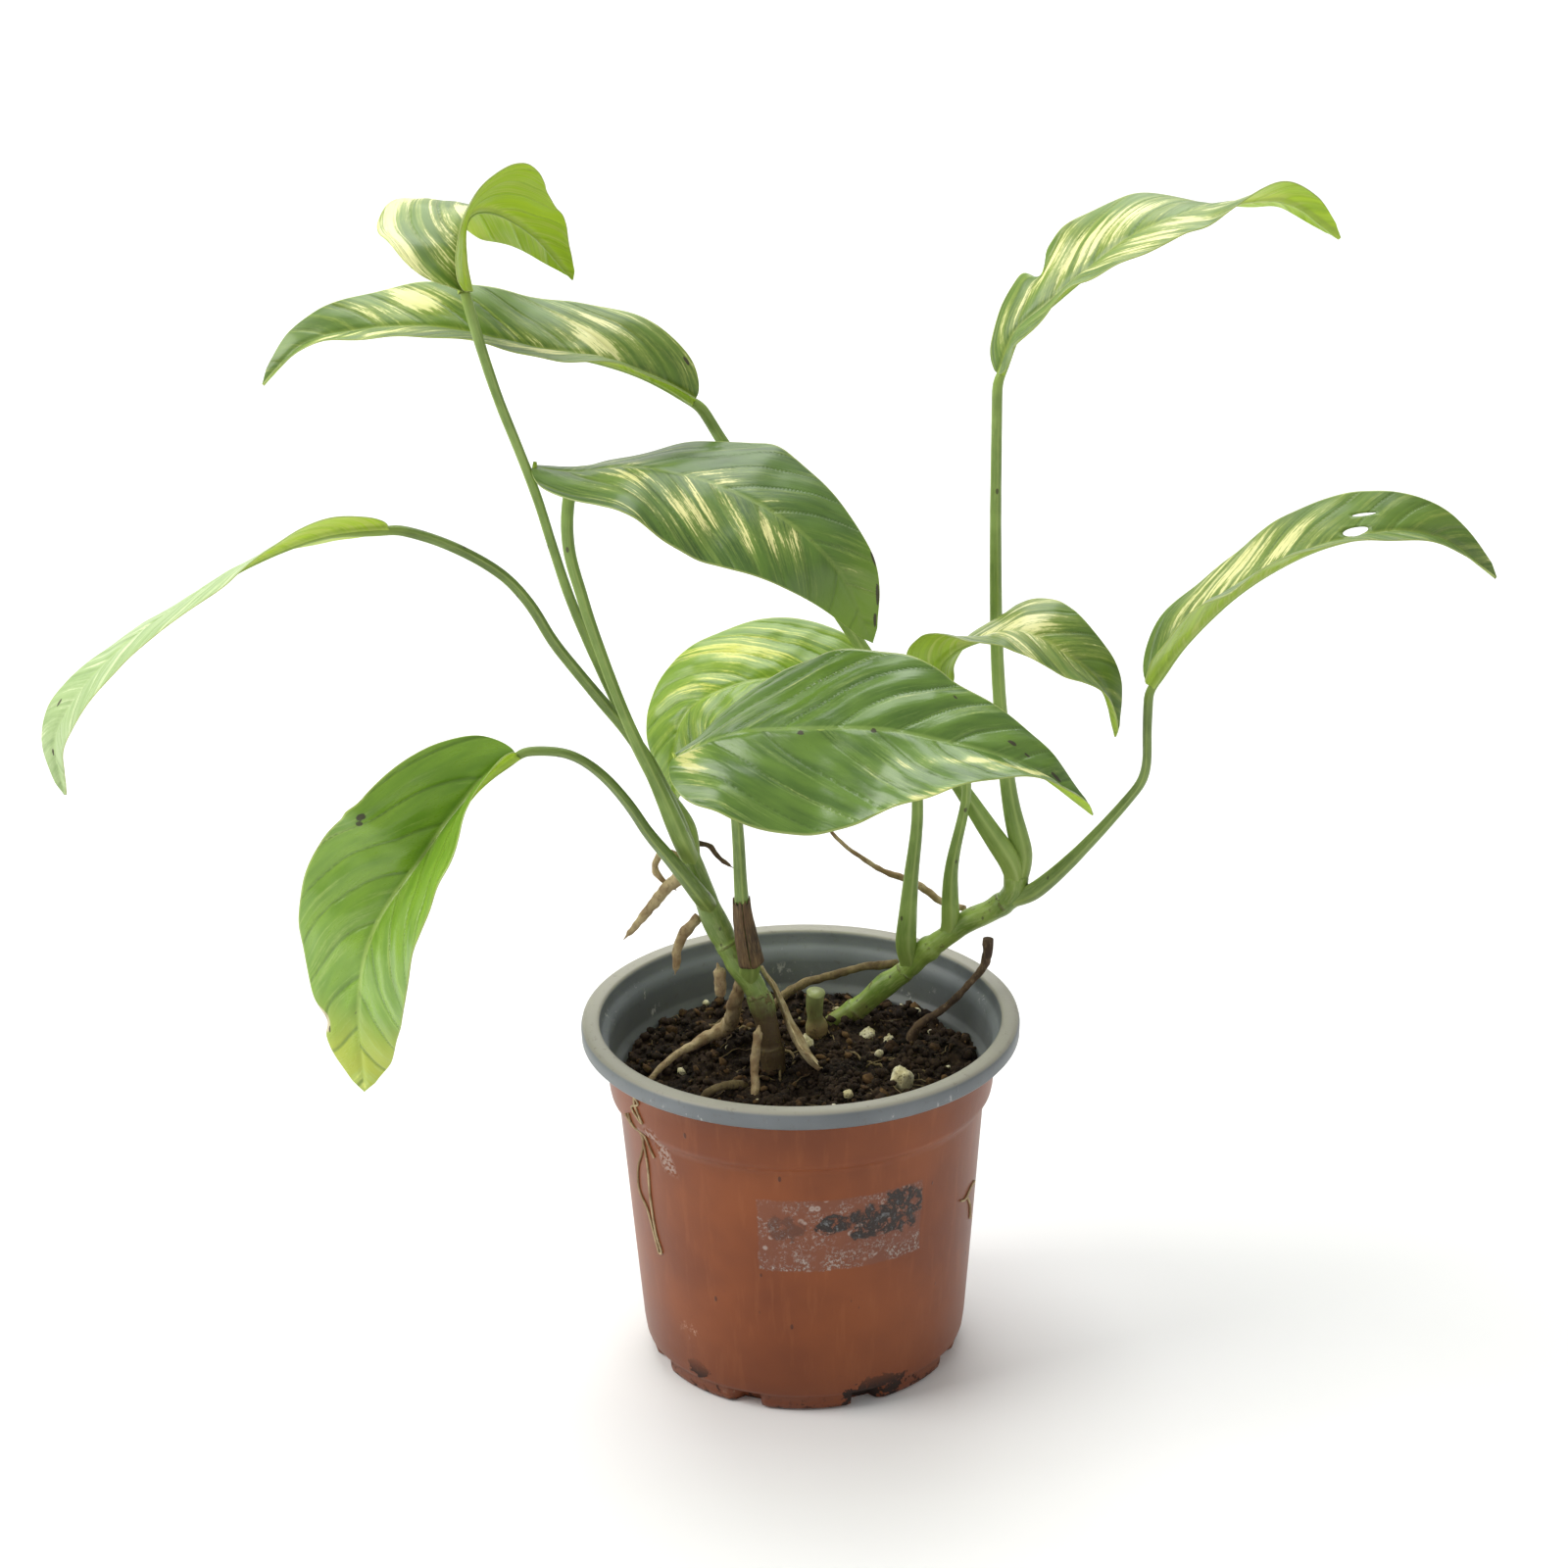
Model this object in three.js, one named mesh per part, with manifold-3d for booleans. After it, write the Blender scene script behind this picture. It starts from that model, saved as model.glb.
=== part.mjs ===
// A climbing aroid with variegated leaves, rooted in a round plastic nursery pot of moist soil.
// Units are millimetres, +Z is up, and the origin is the centre of the pot's flat base.
// Two leafy stems rise from the soil. Each leaf is a petiole (the stalk) and a blade, and aerial
// roots hang from the stems or run into the soil.

import * as THREE from "three";
import { ParametricGeometry } from "three/addons/geometries/ParametricGeometry.js";
import { mergeVertices } from "three/addons/utils/BufferGeometryUtils.js";
import Module from "manifold-3d";

const wasm = await Module();
wasm.setup();

// ---- Driving dimensions -------------------------------------------------------------------

const RIM_RADIUS = 60; // outside of the rolled rim
const POT_HEIGHT = 100;
const BASE_RADIUS = 43.7; // outside of the wall at the foot
const SHOULDER_Z = 78; // where the wall steps out to the upper band
const SHOULDER_RADIUS = 50.4; // outside of the wall just under the step
const BAND_RADIUS = 53.8; // outside of the wall just under the rim
const WALL = 1.1;
const FIT_GAP = 0.3; // clearance between pieces that touch
const POT_SEGMENTS = 64;

const DRAIN_HOLES = 8;
const DRAIN_HOLE_WIDTH = 9;
const DRAIN_HOLE_HEIGHT = 5;

const SOIL_Z = 84; // mean height of the soil's surface
const SOIL_RELIEF = 1.3; // height of its hummocks
const SOIL_SEGMENTS = 36;

const LEAF_THICKNESS = 0.7;
const MIDRIB_DEPTH = 0.9; // how far the midrib stands out under the blade, at its base
const LEAF_STATIONS = 18;
const UPPER_SEGMENTS = 8; // across the upper face of a blade
const LOWER_SEGMENTS = 6; // across its underside

// ---- Curves and lofted solids -------------------------------------------------------------

const vec = ([x, y, z]) => new THREE.Vector3(x, y, z);

const smoothCurve = (route) => new THREE.CatmullRomCurve3(route.map(vec));

// The value at share t of a list of values spread evenly from 0 to 1.
function along(values, t) {
  const place = t * (values.length - 1);
  const i = Math.min(Math.floor(place), values.length - 2);
  return values.length === 1 ? values[0] : THREE.MathUtils.lerp(values[i], values[i + 1], place - i);
}

// Frames that don't twist along a curve, turned so that the first normal faces the way given.
function framesAlong(curve, count, facing = [0, 0, 1]) {
  const { tangents, normals } = curve.computeFrenetFrames(count, false);
  const wanted = vec(facing).projectOnPlane(tangents[0]).normalize();
  const across = new THREE.Vector3().crossVectors(tangents[0], normals[0]);
  const turn = Math.atan2(wanted.dot(across), wanted.dot(normals[0]));
  return tangents.map((tangent, i) => ({
    point: curve.getPointAt(i / count),
    tangent,
    normal: normals[i].clone().applyAxisAngle(tangent, turn),
  }));
}

// A closed solid from rings of points: each ring has the same number of points, and each end is
// closed to the middle of its ring.
function loft(rings) {
  const middles = rings.map((ring) =>
    ring.reduce((sum, p) => sum.add(p), new THREE.Vector3()).divideScalar(ring.length),
  );
  const stacks = rings.length + 1;
  const sides = rings[0].length;
  return new ParametricGeometry((u, v, target) => {
    const row = Math.round(v * stacks) - 1;
    const column = Math.round(u * sides) % sides;
    if (row < 0) target.copy(middles[0]);
    else if (row >= rings.length) target.copy(middles.at(-1));
    else target.copy(rings[row][column]);
  }, sides, stacks);
}

// A round tube along a route. radii are spread evenly along it, and swellings is a list of
// [share of the length, extra radius] for the nodes of a stem.
function tube({ route, radii, sides = 8, stations = 12, swellings = [], grow = 0 }) {
  const frames = framesAlong(smoothCurve(route), stations, [0.3, -0.9, 0.2]);
  const rings = frames.map(({ point, tangent, normal }, i) => {
    const t = i / stations;
    const bulge = swellings.reduce((sum, [at, extra]) => sum + extra * Math.exp(-(((t - at) / 0.025) ** 2)), 0);
    const radius = along(radii, t) + bulge + grow;
    const side = new THREE.Vector3().crossVectors(tangent, normal);
    return Array.from({ length: sides }, (_, k) => {
      const angle = (2 * Math.PI * k) / sides;
      return point.clone()
        .addScaledVector(normal, radius * Math.cos(angle))
        .addScaledVector(side, radius * Math.sin(angle))
        .addScaledVector(tangent, i === 0 ? -grow : i === stations ? grow : 0);
    });
  });
  return loft(rings);
}

// Half the width of a blade at share t of its length: round at the base, drawn out at the tip.
function bladeHalfWidth(t, { width, belly, tip }) {
  const skewed = t ** (Math.log(0.5) / Math.log(belly));
  return Math.max(width * Math.sin(Math.PI * skewed) ** tip, 0.5);
}

// A leaf blade along its midrib. Angles are in degrees and spread evenly from base to tip. The
// upper face looks the way that facing says at the base, and roll turns it about the midrib.
// left and right lift the two halves, curl bends both margins down, and lobe is how far the
// shoulders reach back past the base.
function blade({ route, facing, width, belly = 0.4, tip = 0.85, roll = [0], left = [0], right = [0],
  curl = 0.12, lobe = 0, wave = 0, waves = 3 }) {
  const frames = framesAlong(smoothCurve(route), LEAF_STATIONS, facing);
  const across = (s, t) => {
    const half = bladeHalfWidth(t, { width, belly, tip });
    const lift = THREE.MathUtils.degToRad(along(s < 0 ? left : right, t));
    const ripple = wave * s * s * Math.sin(2 * Math.PI * waves * t + (s < 0 ? 0 : 2));
    const back = (lobe * s * s * Math.exp(-10 * t) * half) / width;
    return [half * s * Math.cos(lift), half * Math.abs(s) * Math.sin(lift) - curl * half * s * s + ripple, back];
  };
  const rings = frames.map(({ point, tangent, normal }, i) => {
    const t = i / LEAF_STATIONS;
    const up = normal.clone().applyAxisAngle(tangent, THREE.MathUtils.degToRad(along(roll, t)));
    const side = new THREE.Vector3().crossVectors(tangent, up);
    const place = (s, depth) => {
      const [x, z, back] = across(s, t);
      return point.clone().addScaledVector(side, x).addScaledVector(up, z - depth).addScaledVector(tangent, -back);
    };
    const ring = [];
    for (let k = 0; k <= UPPER_SEGMENTS; k++) ring.push(place(-1 + (2 * k) / UPPER_SEGMENTS, 0));
    for (let k = 1; k < LOWER_SEGMENTS; k++) {
      const s = 1 - (2 * k) / LOWER_SEGMENTS;
      const keel = Math.abs(s) < 0.01 ? MIDRIB_DEPTH * (1 - t) : 0;
      ring.push(place(s, LEAF_THICKNESS * (1 - 0.5 * t) + keel));
    }
    return ring;
  });
  return loft(rings);
}

// ---- Booleans -----------------------------------------------------------------------------

function toSolid(geometry) {
  const bare = geometry.clone();
  bare.deleteAttribute("normal");
  bare.deleteAttribute("uv");
  const merged = mergeVertices(bare, 1e-3);
  return new wasm.Manifold(new wasm.Mesh({
    numProp: 3,
    vertProperties: merged.getAttribute("position").array,
    triVerts: new Uint32Array(merged.index.array),
  }));
}

function toGeometry(solid) {
  const { vertProperties, triVerts } = solid.getMesh();
  return new THREE.BufferGeometry()
    .setAttribute("position", new THREE.BufferAttribute(vertProperties, 3))
    .setIndex(new THREE.BufferAttribute(triVerts, 1));
}

// The geometry less the tools. Loose crumbs that the cuts leave behind are dropped.
function cut(geometry, tools) {
  const rest = tools.reduce((solid, tool) => solid.subtract(toSolid(tool)), toSolid(geometry));
  const bodies = rest.decompose().sort((a, b) => b.volume() - a.volume());
  return toGeometry(bodies[0]);
}

// ---- Materials ----------------------------------------------------------------------------

const plastic = new THREE.MeshStandardMaterial({ color: 0xb9562c, roughness: 0.55, metalness: 0 });
const soilMatter = new THREE.MeshStandardMaterial({ color: 0x2a1d15, roughness: 0.95, metalness: 0 });
const stemGreen = new THREE.MeshStandardMaterial({ color: 0x7f9c4a, roughness: 0.45, metalness: 0 });
const leafGreen = new THREE.MeshStandardMaterial({ color: 0x6f9a3d, roughness: 0.35, metalness: 0 });
const rootBrown = new THREE.MeshStandardMaterial({ color: 0x8d7052, roughness: 0.9, metalness: 0 });
const huskTan = new THREE.MeshStandardMaterial({ color: 0xc2a67c, roughness: 0.85, metalness: 0 });
const pumiceStone = new THREE.MeshStandardMaterial({ color: 0xcfc49a, roughness: 0.95, metalness: 0 });

// ---- The plant's own dimensions -----------------------------------------------------------

const STEMS = {
  stem_left: {
    route: [[-7, -6, 62], [-7, -6, 80], [-9, -5, 98], [-12, -4, 109], [-16, -3, 116], [-20, -2, 123],
      [-24, -1, 132], [-27, 0, 141], [-30, 0, 150]],
    radii: [3.0, 3.2, 3.2, 3.1, 3.3, 3.1, 2.7], sides: 10, stations: 26,
    swellings: [[0.3, 0.3], [0.47, 0.5], [0.6, 0.6], [0.75, 0.5]],
  },
  stem_right: {
    route: [[1, 27, 66], [8, 26, 83], [17, 25, 90], [24, 24, 97], [30, 23, 102], [35, 22, 108], [41, 21, 113],
      [47, 20, 118], [54, 19, 122], [59, 18, 127], [60, 18, 134]],
    radii: [2.3, 2.5, 2.8, 3.0, 2.9, 3.0, 2.9, 3.2, 3.5], sides: 10, stations: 30,
    swellings: [[0.3, 0.4], [0.42, 0.5], [0.6, 0.5], [0.78, 0.4]],
  },
  pruned_stub: {
    route: [[4, 20, 72], [4.5, 19.5, 86], [4, 18, 92], [4.5, 16.5, 98.5]],
    radii: [3.0, 3.2, 2.2, 2.6], sides: 9, stations: 9, swellings: [[0.55, 0.7]],
  },
};

const LEAVES = {
  far_left: {
    petiole: {
      route: [[-32, 0, 155.5], [-41, -0.5, 178], [-55, -1.5, 198], [-65, -3, 213], [-72, -4, 226],
        [-88, -5, 238], [-103.6, -5, 243.5]],
      radii: [2.2, 1.7, 1.5, 1.4, 1.4],
    },
    blade: {
      route: [[-105, -5, 244], [-121, -8, 244], [-141, -10, 237], [-158, -12, 227], [-173, -14, 217],
        [-187, -14, 203], [-195, -12, 189], [-194, -10, 172]],
      facing: [0, 0.55, 0.83], width: 15.5, belly: 0.42, lobe: 3,
      roll: [15, -10, -22, -44, -85], left: [17, -4, 6, 7], right: [6, 7, 0, 32],
    },
  },
  top_left: {
    petiole: {
      route: [[-30, 4.5, 155], [-39, 4.5, 170], [-49, 3.5, 194], [-59, 0, 222], [-67, -3, 253], [-76.2, -6, 282],
        [-82, -8, 306]],
      radii: [1.9, 1.5, 1.3, 1.3, 1.4],
    },
    blade: {
      route: [[-82, -8, 307], [-83, -4, 316], [-82, 4, 324], [-76, 14, 323], [-66, 20, 315], [-56, 22, 302]],
      facing: [-0.4, -0.9, 0.1], width: 23, belly: 0.33, lobe: 1,
      roll: [40, 8, 13, 3, 9], left: [57, 13, -6, 9], right: [110, 48, 15, 17],
    },
  },
  top_arch: {
    petiole: {
      route: [[57, 17, 139], [53, 18, 145], [43, 19, 161], [29, 20, 182], [15, 20, 204], [-2, 20, 233],
        [-19, 19, 259], [-24.2, 18, 268.8]],
      radii: [2.4, 2.0, 1.8, 1.7, 1.6, 1.5],
    },
    blade: {
      route: [[-25, 18, 270], [-35, 18, 276], [-50, 17, 282], [-68, 15, 286], [-90, 13, 292], [-111, 12, 292],
        [-126, 10, 289], [-137, 8, 279]],
      facing: [0, -0.1, 1], width: 20, belly: 0.36, lobe: 3,
      roll: [-19, -4, -5, -11, -13], left: [45, 28, 29, 35], right: [42, 19, 21, 31],
    },
  },
  centre: {
    petiole: {
      route: [[-31.5, -4.8, 155], [-37, -5, 170], [-44, -5, 187], [-51, -5, 208], [-56, -5, 226], [-59, -5, 241],
        [-58, -5, 249], [-57.4, -5, 254.6]],
      radii: [2.0, 1.7, 1.5, 1.5, 1.6, 1.7],
    },
    blade: {
      route: [[-67, -3, 259.5], [-57, -5, 258.5], [-42, -6, 260], [-28, -8, 258], [-16, -12, 255], [0, -18, 247], [12, -22, 235],
        [20, -22, 216]],
      facing: [0, -0.4, 0.9], width: 23, belly: 0.4, lobe: 4,
      roll: [-21, -20, 8, 9, 35], left: [-14, -4, -5, 13], right: [-5, -4, 0, 2],
    },
  },
  mid_back: {
    petiole: {
      route: [[29.5, 22, 110], [31, 22, 129], [33, 22, 152], [31, 24, 169], [26, 25, 180], [22.9, 25, 184.6]],
      radii: [2.3, 2.0, 1.6, 1.5, 1.5],
    },
    blade: {
      route: [[22, 25, 186], [10, 24, 189], [-4, 23, 190], [-19, 20, 188], [-29, 17, 183], [-33, 14, 174],
        [-33, 13, 158]],
      facing: [0, -0.4, 0.9], width: 22, belly: 0.4, lobe: 3,
      roll: [-11, -3, 5, 9, 4], left: [12], right: [17, 9, 8, 13],
    },
  },
  front: {
    petiole: {
      route: [[-13.2, -7.2, 119], [-15, -9.5, 134], [-16, -16, 164], [-17, -25, 181], [-17, -33, 193.6]],
      radii: [2.3, 1.8, 1.6, 1.5, 1.5],
    },
    blade: {
      route: [[-32, -33, 190], [-17, -35, 197], [6, -40, 200], [23, -42, 200], [35, -44, 198], [48, -45, 195],
        [60, -45, 190], [76, -42, 176]],
      facing: [0, -0.5, 0.86], width: 26.5, belly: 0.3, lobe: 13,
      roll: [-31, -15, -2, -18, -31], left: [-15, 10, 15, 28], right: [-13, -27, 16, 51],
    },
  },
  top_right: {
    petiole: {
      route: [[61.6, 19.5, 139], [58.5, 21, 152], [55, 24, 187], [54, 24, 226], [54, 22, 257], [54, 20, 273.8]],
      radii: [2.3, 1.9, 1.7, 1.5, 1.4],
    },
    blade: {
      route: [[54, 20, 275], [58, 20, 286], [66, 18, 294], [77, 16, 304], [86, 14, 312], [99, 12, 319],
        [115, 10, 323], [127, 10, 323], [141, 10, 313]],
      facing: [-0.5, -0.7, 0.4], width: 19, belly: 0.42, lobe: 3,
      roll: [-26, -45, -48, -73, -98], left: [13, 32, 0, 8], right: [17, 25, -5, 50],
    },
  },
  right: {
    petiole: {
      route: [[64, 15.5, 128], [68, 14, 132], [76, 10, 142], [89, 3, 161], [93, 0, 169], [93, -3, 182],
        [93, -4.9, 195.8]],
      radii: [1.9, 1.7, 1.4, 1.2, 1.3],
    },
    blade: {
      route: [[93, -5, 197], [97, -5, 203], [101, -6, 209], [115, -8, 224], [132, -10, 235], [144, -11, 239],
        [157, -12, 241], [169, -12, 238], [182, -12, 228]],
      facing: [-0.6, -0.2, 0.8], width: 19, belly: 0.37, lobe: 5,
      roll: [-7, -22, -13, 9, 11], left: [37, 18, 26, 35], right: [42, 24, 38, 34],
    },
  },
  small_right: {
    petiole: {
      route: [[42, 20, 119.8], [42, 18, 134], [46, 12, 161], [44, 8, 175], [41, 6, 186], [39.4, 5.3, 189.8]],
      radii: [2.0, 1.6, 1.3, 1.2, 1.3],
    },
    blade: {
      route: [[39, 5, 191], [38, 8, 198], [43, 8, 204], [49, 6, 207], [60, 2, 210], [70, -2, 206],
        [81, -4, 196], [85, -4, 182]],
      facing: [-0.3, -0.2, 0.9], width: 16.5, belly: 0.37, lobe: 3,
      roll: [-127, -85, -65, -64, -68], left: [22, 12, 22, 30], right: [36, 17, 19, 53],
    },
  },
  lower_left: {
    petiole: {
      route: [[-26, -6.5, 138], [-31, -8, 146], [-40, -8, 158], [-45, -9, 167], [-53, -10, 177], [-61, -10, 182],
        [-73, -10, 182.6]],
      radii: [1.9, 1.6, 1.4, 1.3, 1.3],
    },
    blade: {
      route: [[-74, -10, 182], [-82, -13, 177], [-93, -17, 165], [-102, -20, 153], [-109, -22, 144],
        [-115, -24, 132], [-118, -24, 115], [-118, -22, 89]],
      facing: [-0.5, -0.6, 0.6], width: 26, belly: 0.4, lobe: 4,
      roll: [11, -9, -6, -12, -24], left: [57, 45, 19, -7], right: [41, 54, 11, 8],
    },
  },
};

const ROOTS = {
  root_to_back_soil: {
    route: [[26, 27, 102], [21, 30, 100], [7, 34, 95], [-1, 34, 92], [-7, 33, 87], [-12, 31, 80]],
    radii: [1.2, 1.1, 1.3, 1.1], stations: 14,
  },
  root_upright: {
    route: [[52, 10, 116], [51, 10, 110], [46, 11, 102], [40, 12, 95], [33, 14, 89], [29, 15, 80]],
    radii: [1.5, 1.0, 1.0, 1.2, 1.6], stations: 14,
  },
  root_dry_thread: {
    route: [[45, 25, 119.5], [41, 29, 119], [33, 31, 124], [23, 31, 129], [13, 30, 137], [9, 29, 142]],
    radii: [0.9, 1.1, 0.7, 0.5], stations: 12,
  },
  aerial_root_upper: {
    route: [[-31.5, 3, 141], [-36, 4, 136], [-41, 3, 130], [-47, 2, 123]],
    radii: [1.8, 1.6, 1.3, 0.7], stations: 9,
  },
  root_loop: {
    route: [[-31, 6.8, 140], [-34, 7.5, 145], [-37, 7.5, 145.5], [-39, 7, 141], [-37, 7.5, 137], [-34, 8.5, 134]],
    radii: [0.9, 1.0, 0.9, 0.7], stations: 12,
  },
  dry_tendril: {
    route: [[-25.8, 4.5, 149], [-24, 5.5, 148], [-21, 5.5, 144], [-18, 6.5, 141.5]],
    radii: [0.8, 0.7, 0.5], stations: 7,
  },
  aerial_root_lower: {
    route: [[-28, 2, 128], [-31, 1, 124.5], [-33, 0, 120], [-34, -1, 114]],
    radii: [1.4, 1.5, 1.3, 0.9], stations: 8,
  },
  aerial_root_stump: {
    route: [[-22.2, -3.5, 116], [-21.6, -3.5, 112], [-21.5, -3, 107]],
    radii: [1.5, 1.5, 1.3], stations: 5,
  },
  anchor_root: {
    route: [[-16, 3, 110], [-18, 4, 101], [-19, 8, 94], [-21, 11, 90.5], [-27, 8, 88.5], [-34, 1, 87.5],
      [-41, -7, 84.5], [-44, -10, 79]],
    radii: [1.6, 2.1, 2.2, 1.2, 0.9, 0.9], stations: 16,
  },
  prop_root: {
    route: [[-11.5, -11.5, 101], [-12.5, -15, 92], [-13, -24, 80]],
    radii: [1.3, 1.2, 1.0], stations: 7,
  },
  surface_root: {
    route: [[-13, -11, 80], [-17, -17, 87], [-24, -21, 87.5], [-31, -20, 80]],
    radii: [1.3, 1.2, 1.0], stations: 9,
  },
};

const DRY_SHEATH = {
  route: [[-10.8, 0.2, 114], [-7.6, 0, 108], [-4.6, -1, 100], [-2.5, -3, 95], [1, -8, 90.5], [4.5, -12, 88.6]],
  facing: [0.8, 0, 0.6], width: 3.6, belly: 0.65, tip: 0.5, curl: -0.2,
};

// Lumps of pumice bedded in the soil: the middle, and the radius.
const PUMICE = [
  [[1.5, 9, 85.5], 3.2],
  [[27.5, -13.5, 86], 3.6],
  [[24.5, 11.5, 85.6], 1.6],
  [[18.5, 16, 85.4], 2.2],
];

// ---- The pot and what is in it ------------------------------------------------------------

function wallRadius(z) {
  const rise = (z - 10) / (SHOULDER_Z - 1 - 10);
  return THREE.MathUtils.lerp(BASE_RADIUS + 1.3, SHOULDER_RADIUS, rise);
}

function potGeometry() {
  const outside = [[0, 0], [BASE_RADIUS - 2.2, 0], [BASE_RADIUS, 2.5], [wallRadius(10), 10],
    [SHOULDER_RADIUS, SHOULDER_Z - 1], [SHOULDER_RADIUS + 2.3, SHOULDER_Z + 2], [BAND_RADIUS, 94], [55.7, 95.4],
    [55.9, 98.7]];
  const rim = [[RIM_RADIUS - 1.4, 98.8], [RIM_RADIUS - 1.1, 94.8], [RIM_RADIUS - 0.1, 94.8],
    [RIM_RADIUS, 98.6], [RIM_RADIUS - 1, POT_HEIGHT], [55.8, POT_HEIGHT]];
  const inside = [[54.9, 99.2], [54.7, 96.2], [BAND_RADIUS - 1, 94.9],
    [SHOULDER_RADIUS + 2.3 - WALL, SHOULDER_Z + 2.6], [SHOULDER_RADIUS - WALL, SHOULDER_Z - 0.4],
    [wallRadius(10) - WALL, 10.4], [BASE_RADIUS - WALL - 0.2, 3.6], [BASE_RADIUS - 3, WALL + 0.1], [0, WALL + 0.1]];
  const profile = [...outside, ...rim, ...inside].map(([r, z]) => new THREE.Vector2(r, z));
  const pot = new THREE.LatheGeometry(profile, POT_SEGMENTS).rotateX(Math.PI / 2);
  const holes = Array.from({ length: DRAIN_HOLES }, (_, k) =>
    new THREE.BoxGeometry(10, DRAIN_HOLE_WIDTH, DRAIN_HOLE_HEIGHT)
      .translate(BASE_RADIUS - 1, 0, DRAIN_HOLE_HEIGHT / 2 + 0.9)
      .rotateZ(((k + 0.5) * 2 * Math.PI) / DRAIN_HOLES));
  return cut(pot, holes);
}

function soilHeight(x, y) {
  const hummocks = Math.sin(x * 0.21 + 1) * Math.cos(y * 0.17) + 0.6 * Math.sin(x * 0.11 - y * 0.23);
  return SOIL_Z + 1.2 + SOIL_RELIEF * hummocks - 2.2 * ((x * x + y * y) / 2500) ** 2;
}

function soilGeometry(buried) {
  const side = [[0, WALL + 0.5], [BASE_RADIUS - 3.3, WALL + 0.5], [BASE_RADIUS - WALL - 0.8, 3.9],
    [wallRadius(10) - WALL - 0.5, 10.6], [SHOULDER_RADIUS - WALL - 0.5, SHOULDER_Z - 0.5]];
  const top = [50.6, 44, 36, 27, 18, 9, 0].map((r) => [r, SOIL_Z]);
  const profile = [...side, ...top].map(([r, z]) => new THREE.Vector2(r, z));
  const soil = new THREE.LatheGeometry(profile, SOIL_SEGMENTS).rotateX(Math.PI / 2);
  const points = soil.getAttribute("position");
  for (let i = 0; i < points.count; i++) {
    if (points.getZ(i) > SHOULDER_Z + 1) points.setZ(i, soilHeight(points.getX(i), points.getY(i)));
  }
  return cut(soil, buried);
}

function lump([centre, radius], grow = 0) {
  const ball = new THREE.IcosahedronGeometry(radius, 1).deleteAttribute("normal").deleteAttribute("uv");
  const rock = mergeVertices(ball);
  const points = rock.getAttribute("position");
  const size = 1 + grow / (0.7 * radius);
  for (let i = 0; i < points.count; i++) {
    const bump = 1 + 0.14 * Math.sin(points.getX(i) * 2.3 + centre[0]) * Math.cos(points.getZ(i) * 1.9 + centre[1]);
    points.setXYZ(i, points.getX(i) * bump, points.getY(i) * bump, points.getZ(i) * bump * 0.8);
  }
  return rock.scale(size, size, size).translate(...centre);
}

// ---- Assembly -----------------------------------------------------------------------------

const plant = new THREE.Group();

function add(name, geometry, material) {
  const mesh = new THREE.Mesh(geometry, material);
  mesh.name = name;
  plant.add(mesh);
}

const planted = [...Object.values(STEMS), ...Object.values(ROOTS)];
const pockets = [
  ...planted.map((piece) => tube({ ...piece, grow: FIT_GAP })),
  ...PUMICE.map((piece) => lump(piece, FIT_GAP)),
];

add("nursery_pot", potGeometry(), plastic);
add("soil", soilGeometry(pockets), soilMatter);
for (const [name, stem] of Object.entries(STEMS)) add(name, tube(stem), stemGreen);
for (const [name, leaf] of Object.entries(LEAVES)) {
  add(`petiole_${name}`, tube({ sides: 7, stations: 11, ...leaf.petiole }), stemGreen);
  add(`leaf_${name}`, blade(leaf.blade), leafGreen);
}
for (const [name, root] of Object.entries(ROOTS)) add(name, tube({ sides: 7, ...root }), rootBrown);
add("dry_sheath", blade(DRY_SHEATH), huskTan);
PUMICE.forEach((piece, i) => add(`pumice_${i + 1}`, lump(piece), pumiceStone));

export default plant;
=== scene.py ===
# %% [markdown]
# # A potted monstera
#
# The solid model of the plant is in model.glb: a pot, soil, two stems, ten leaves on their
# stalks, and roots. It is right in size and place, but plain. This notebook grows the visible
# plant round it. We load the imported model first, because every piece takes its place from it.

# %% Load the frame
import math

import bmesh
import bpy
import numpy as np
from mathutils import Matrix, Vector, noise


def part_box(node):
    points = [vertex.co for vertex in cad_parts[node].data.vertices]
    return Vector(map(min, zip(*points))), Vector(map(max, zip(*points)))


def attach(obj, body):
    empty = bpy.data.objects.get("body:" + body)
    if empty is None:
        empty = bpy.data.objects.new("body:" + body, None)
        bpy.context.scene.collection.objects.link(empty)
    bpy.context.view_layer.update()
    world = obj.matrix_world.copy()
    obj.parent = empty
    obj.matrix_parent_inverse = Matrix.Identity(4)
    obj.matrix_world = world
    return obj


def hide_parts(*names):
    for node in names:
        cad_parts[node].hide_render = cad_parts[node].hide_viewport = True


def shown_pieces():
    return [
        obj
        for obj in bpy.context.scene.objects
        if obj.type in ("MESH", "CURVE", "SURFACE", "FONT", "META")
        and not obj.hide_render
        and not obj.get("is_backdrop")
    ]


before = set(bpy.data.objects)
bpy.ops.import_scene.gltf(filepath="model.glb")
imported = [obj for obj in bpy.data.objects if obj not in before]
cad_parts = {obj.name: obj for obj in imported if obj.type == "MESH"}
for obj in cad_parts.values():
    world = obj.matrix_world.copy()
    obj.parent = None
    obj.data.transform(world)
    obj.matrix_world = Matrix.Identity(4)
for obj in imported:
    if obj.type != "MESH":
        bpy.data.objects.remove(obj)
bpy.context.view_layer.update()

MM = 0.001
BODY = "root"
rng = np.random.default_rng(11)

# %% [markdown]
# ## Camera
#
# A long lens from a little over a metre keeps a small plant free of distortion, which is how a
# product picture is usually taken. The camera looks down at about 22 degrees, so the soil shows
# inside the rim. It is built from its own three axes, because that makes a slight tilt easy.

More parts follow.
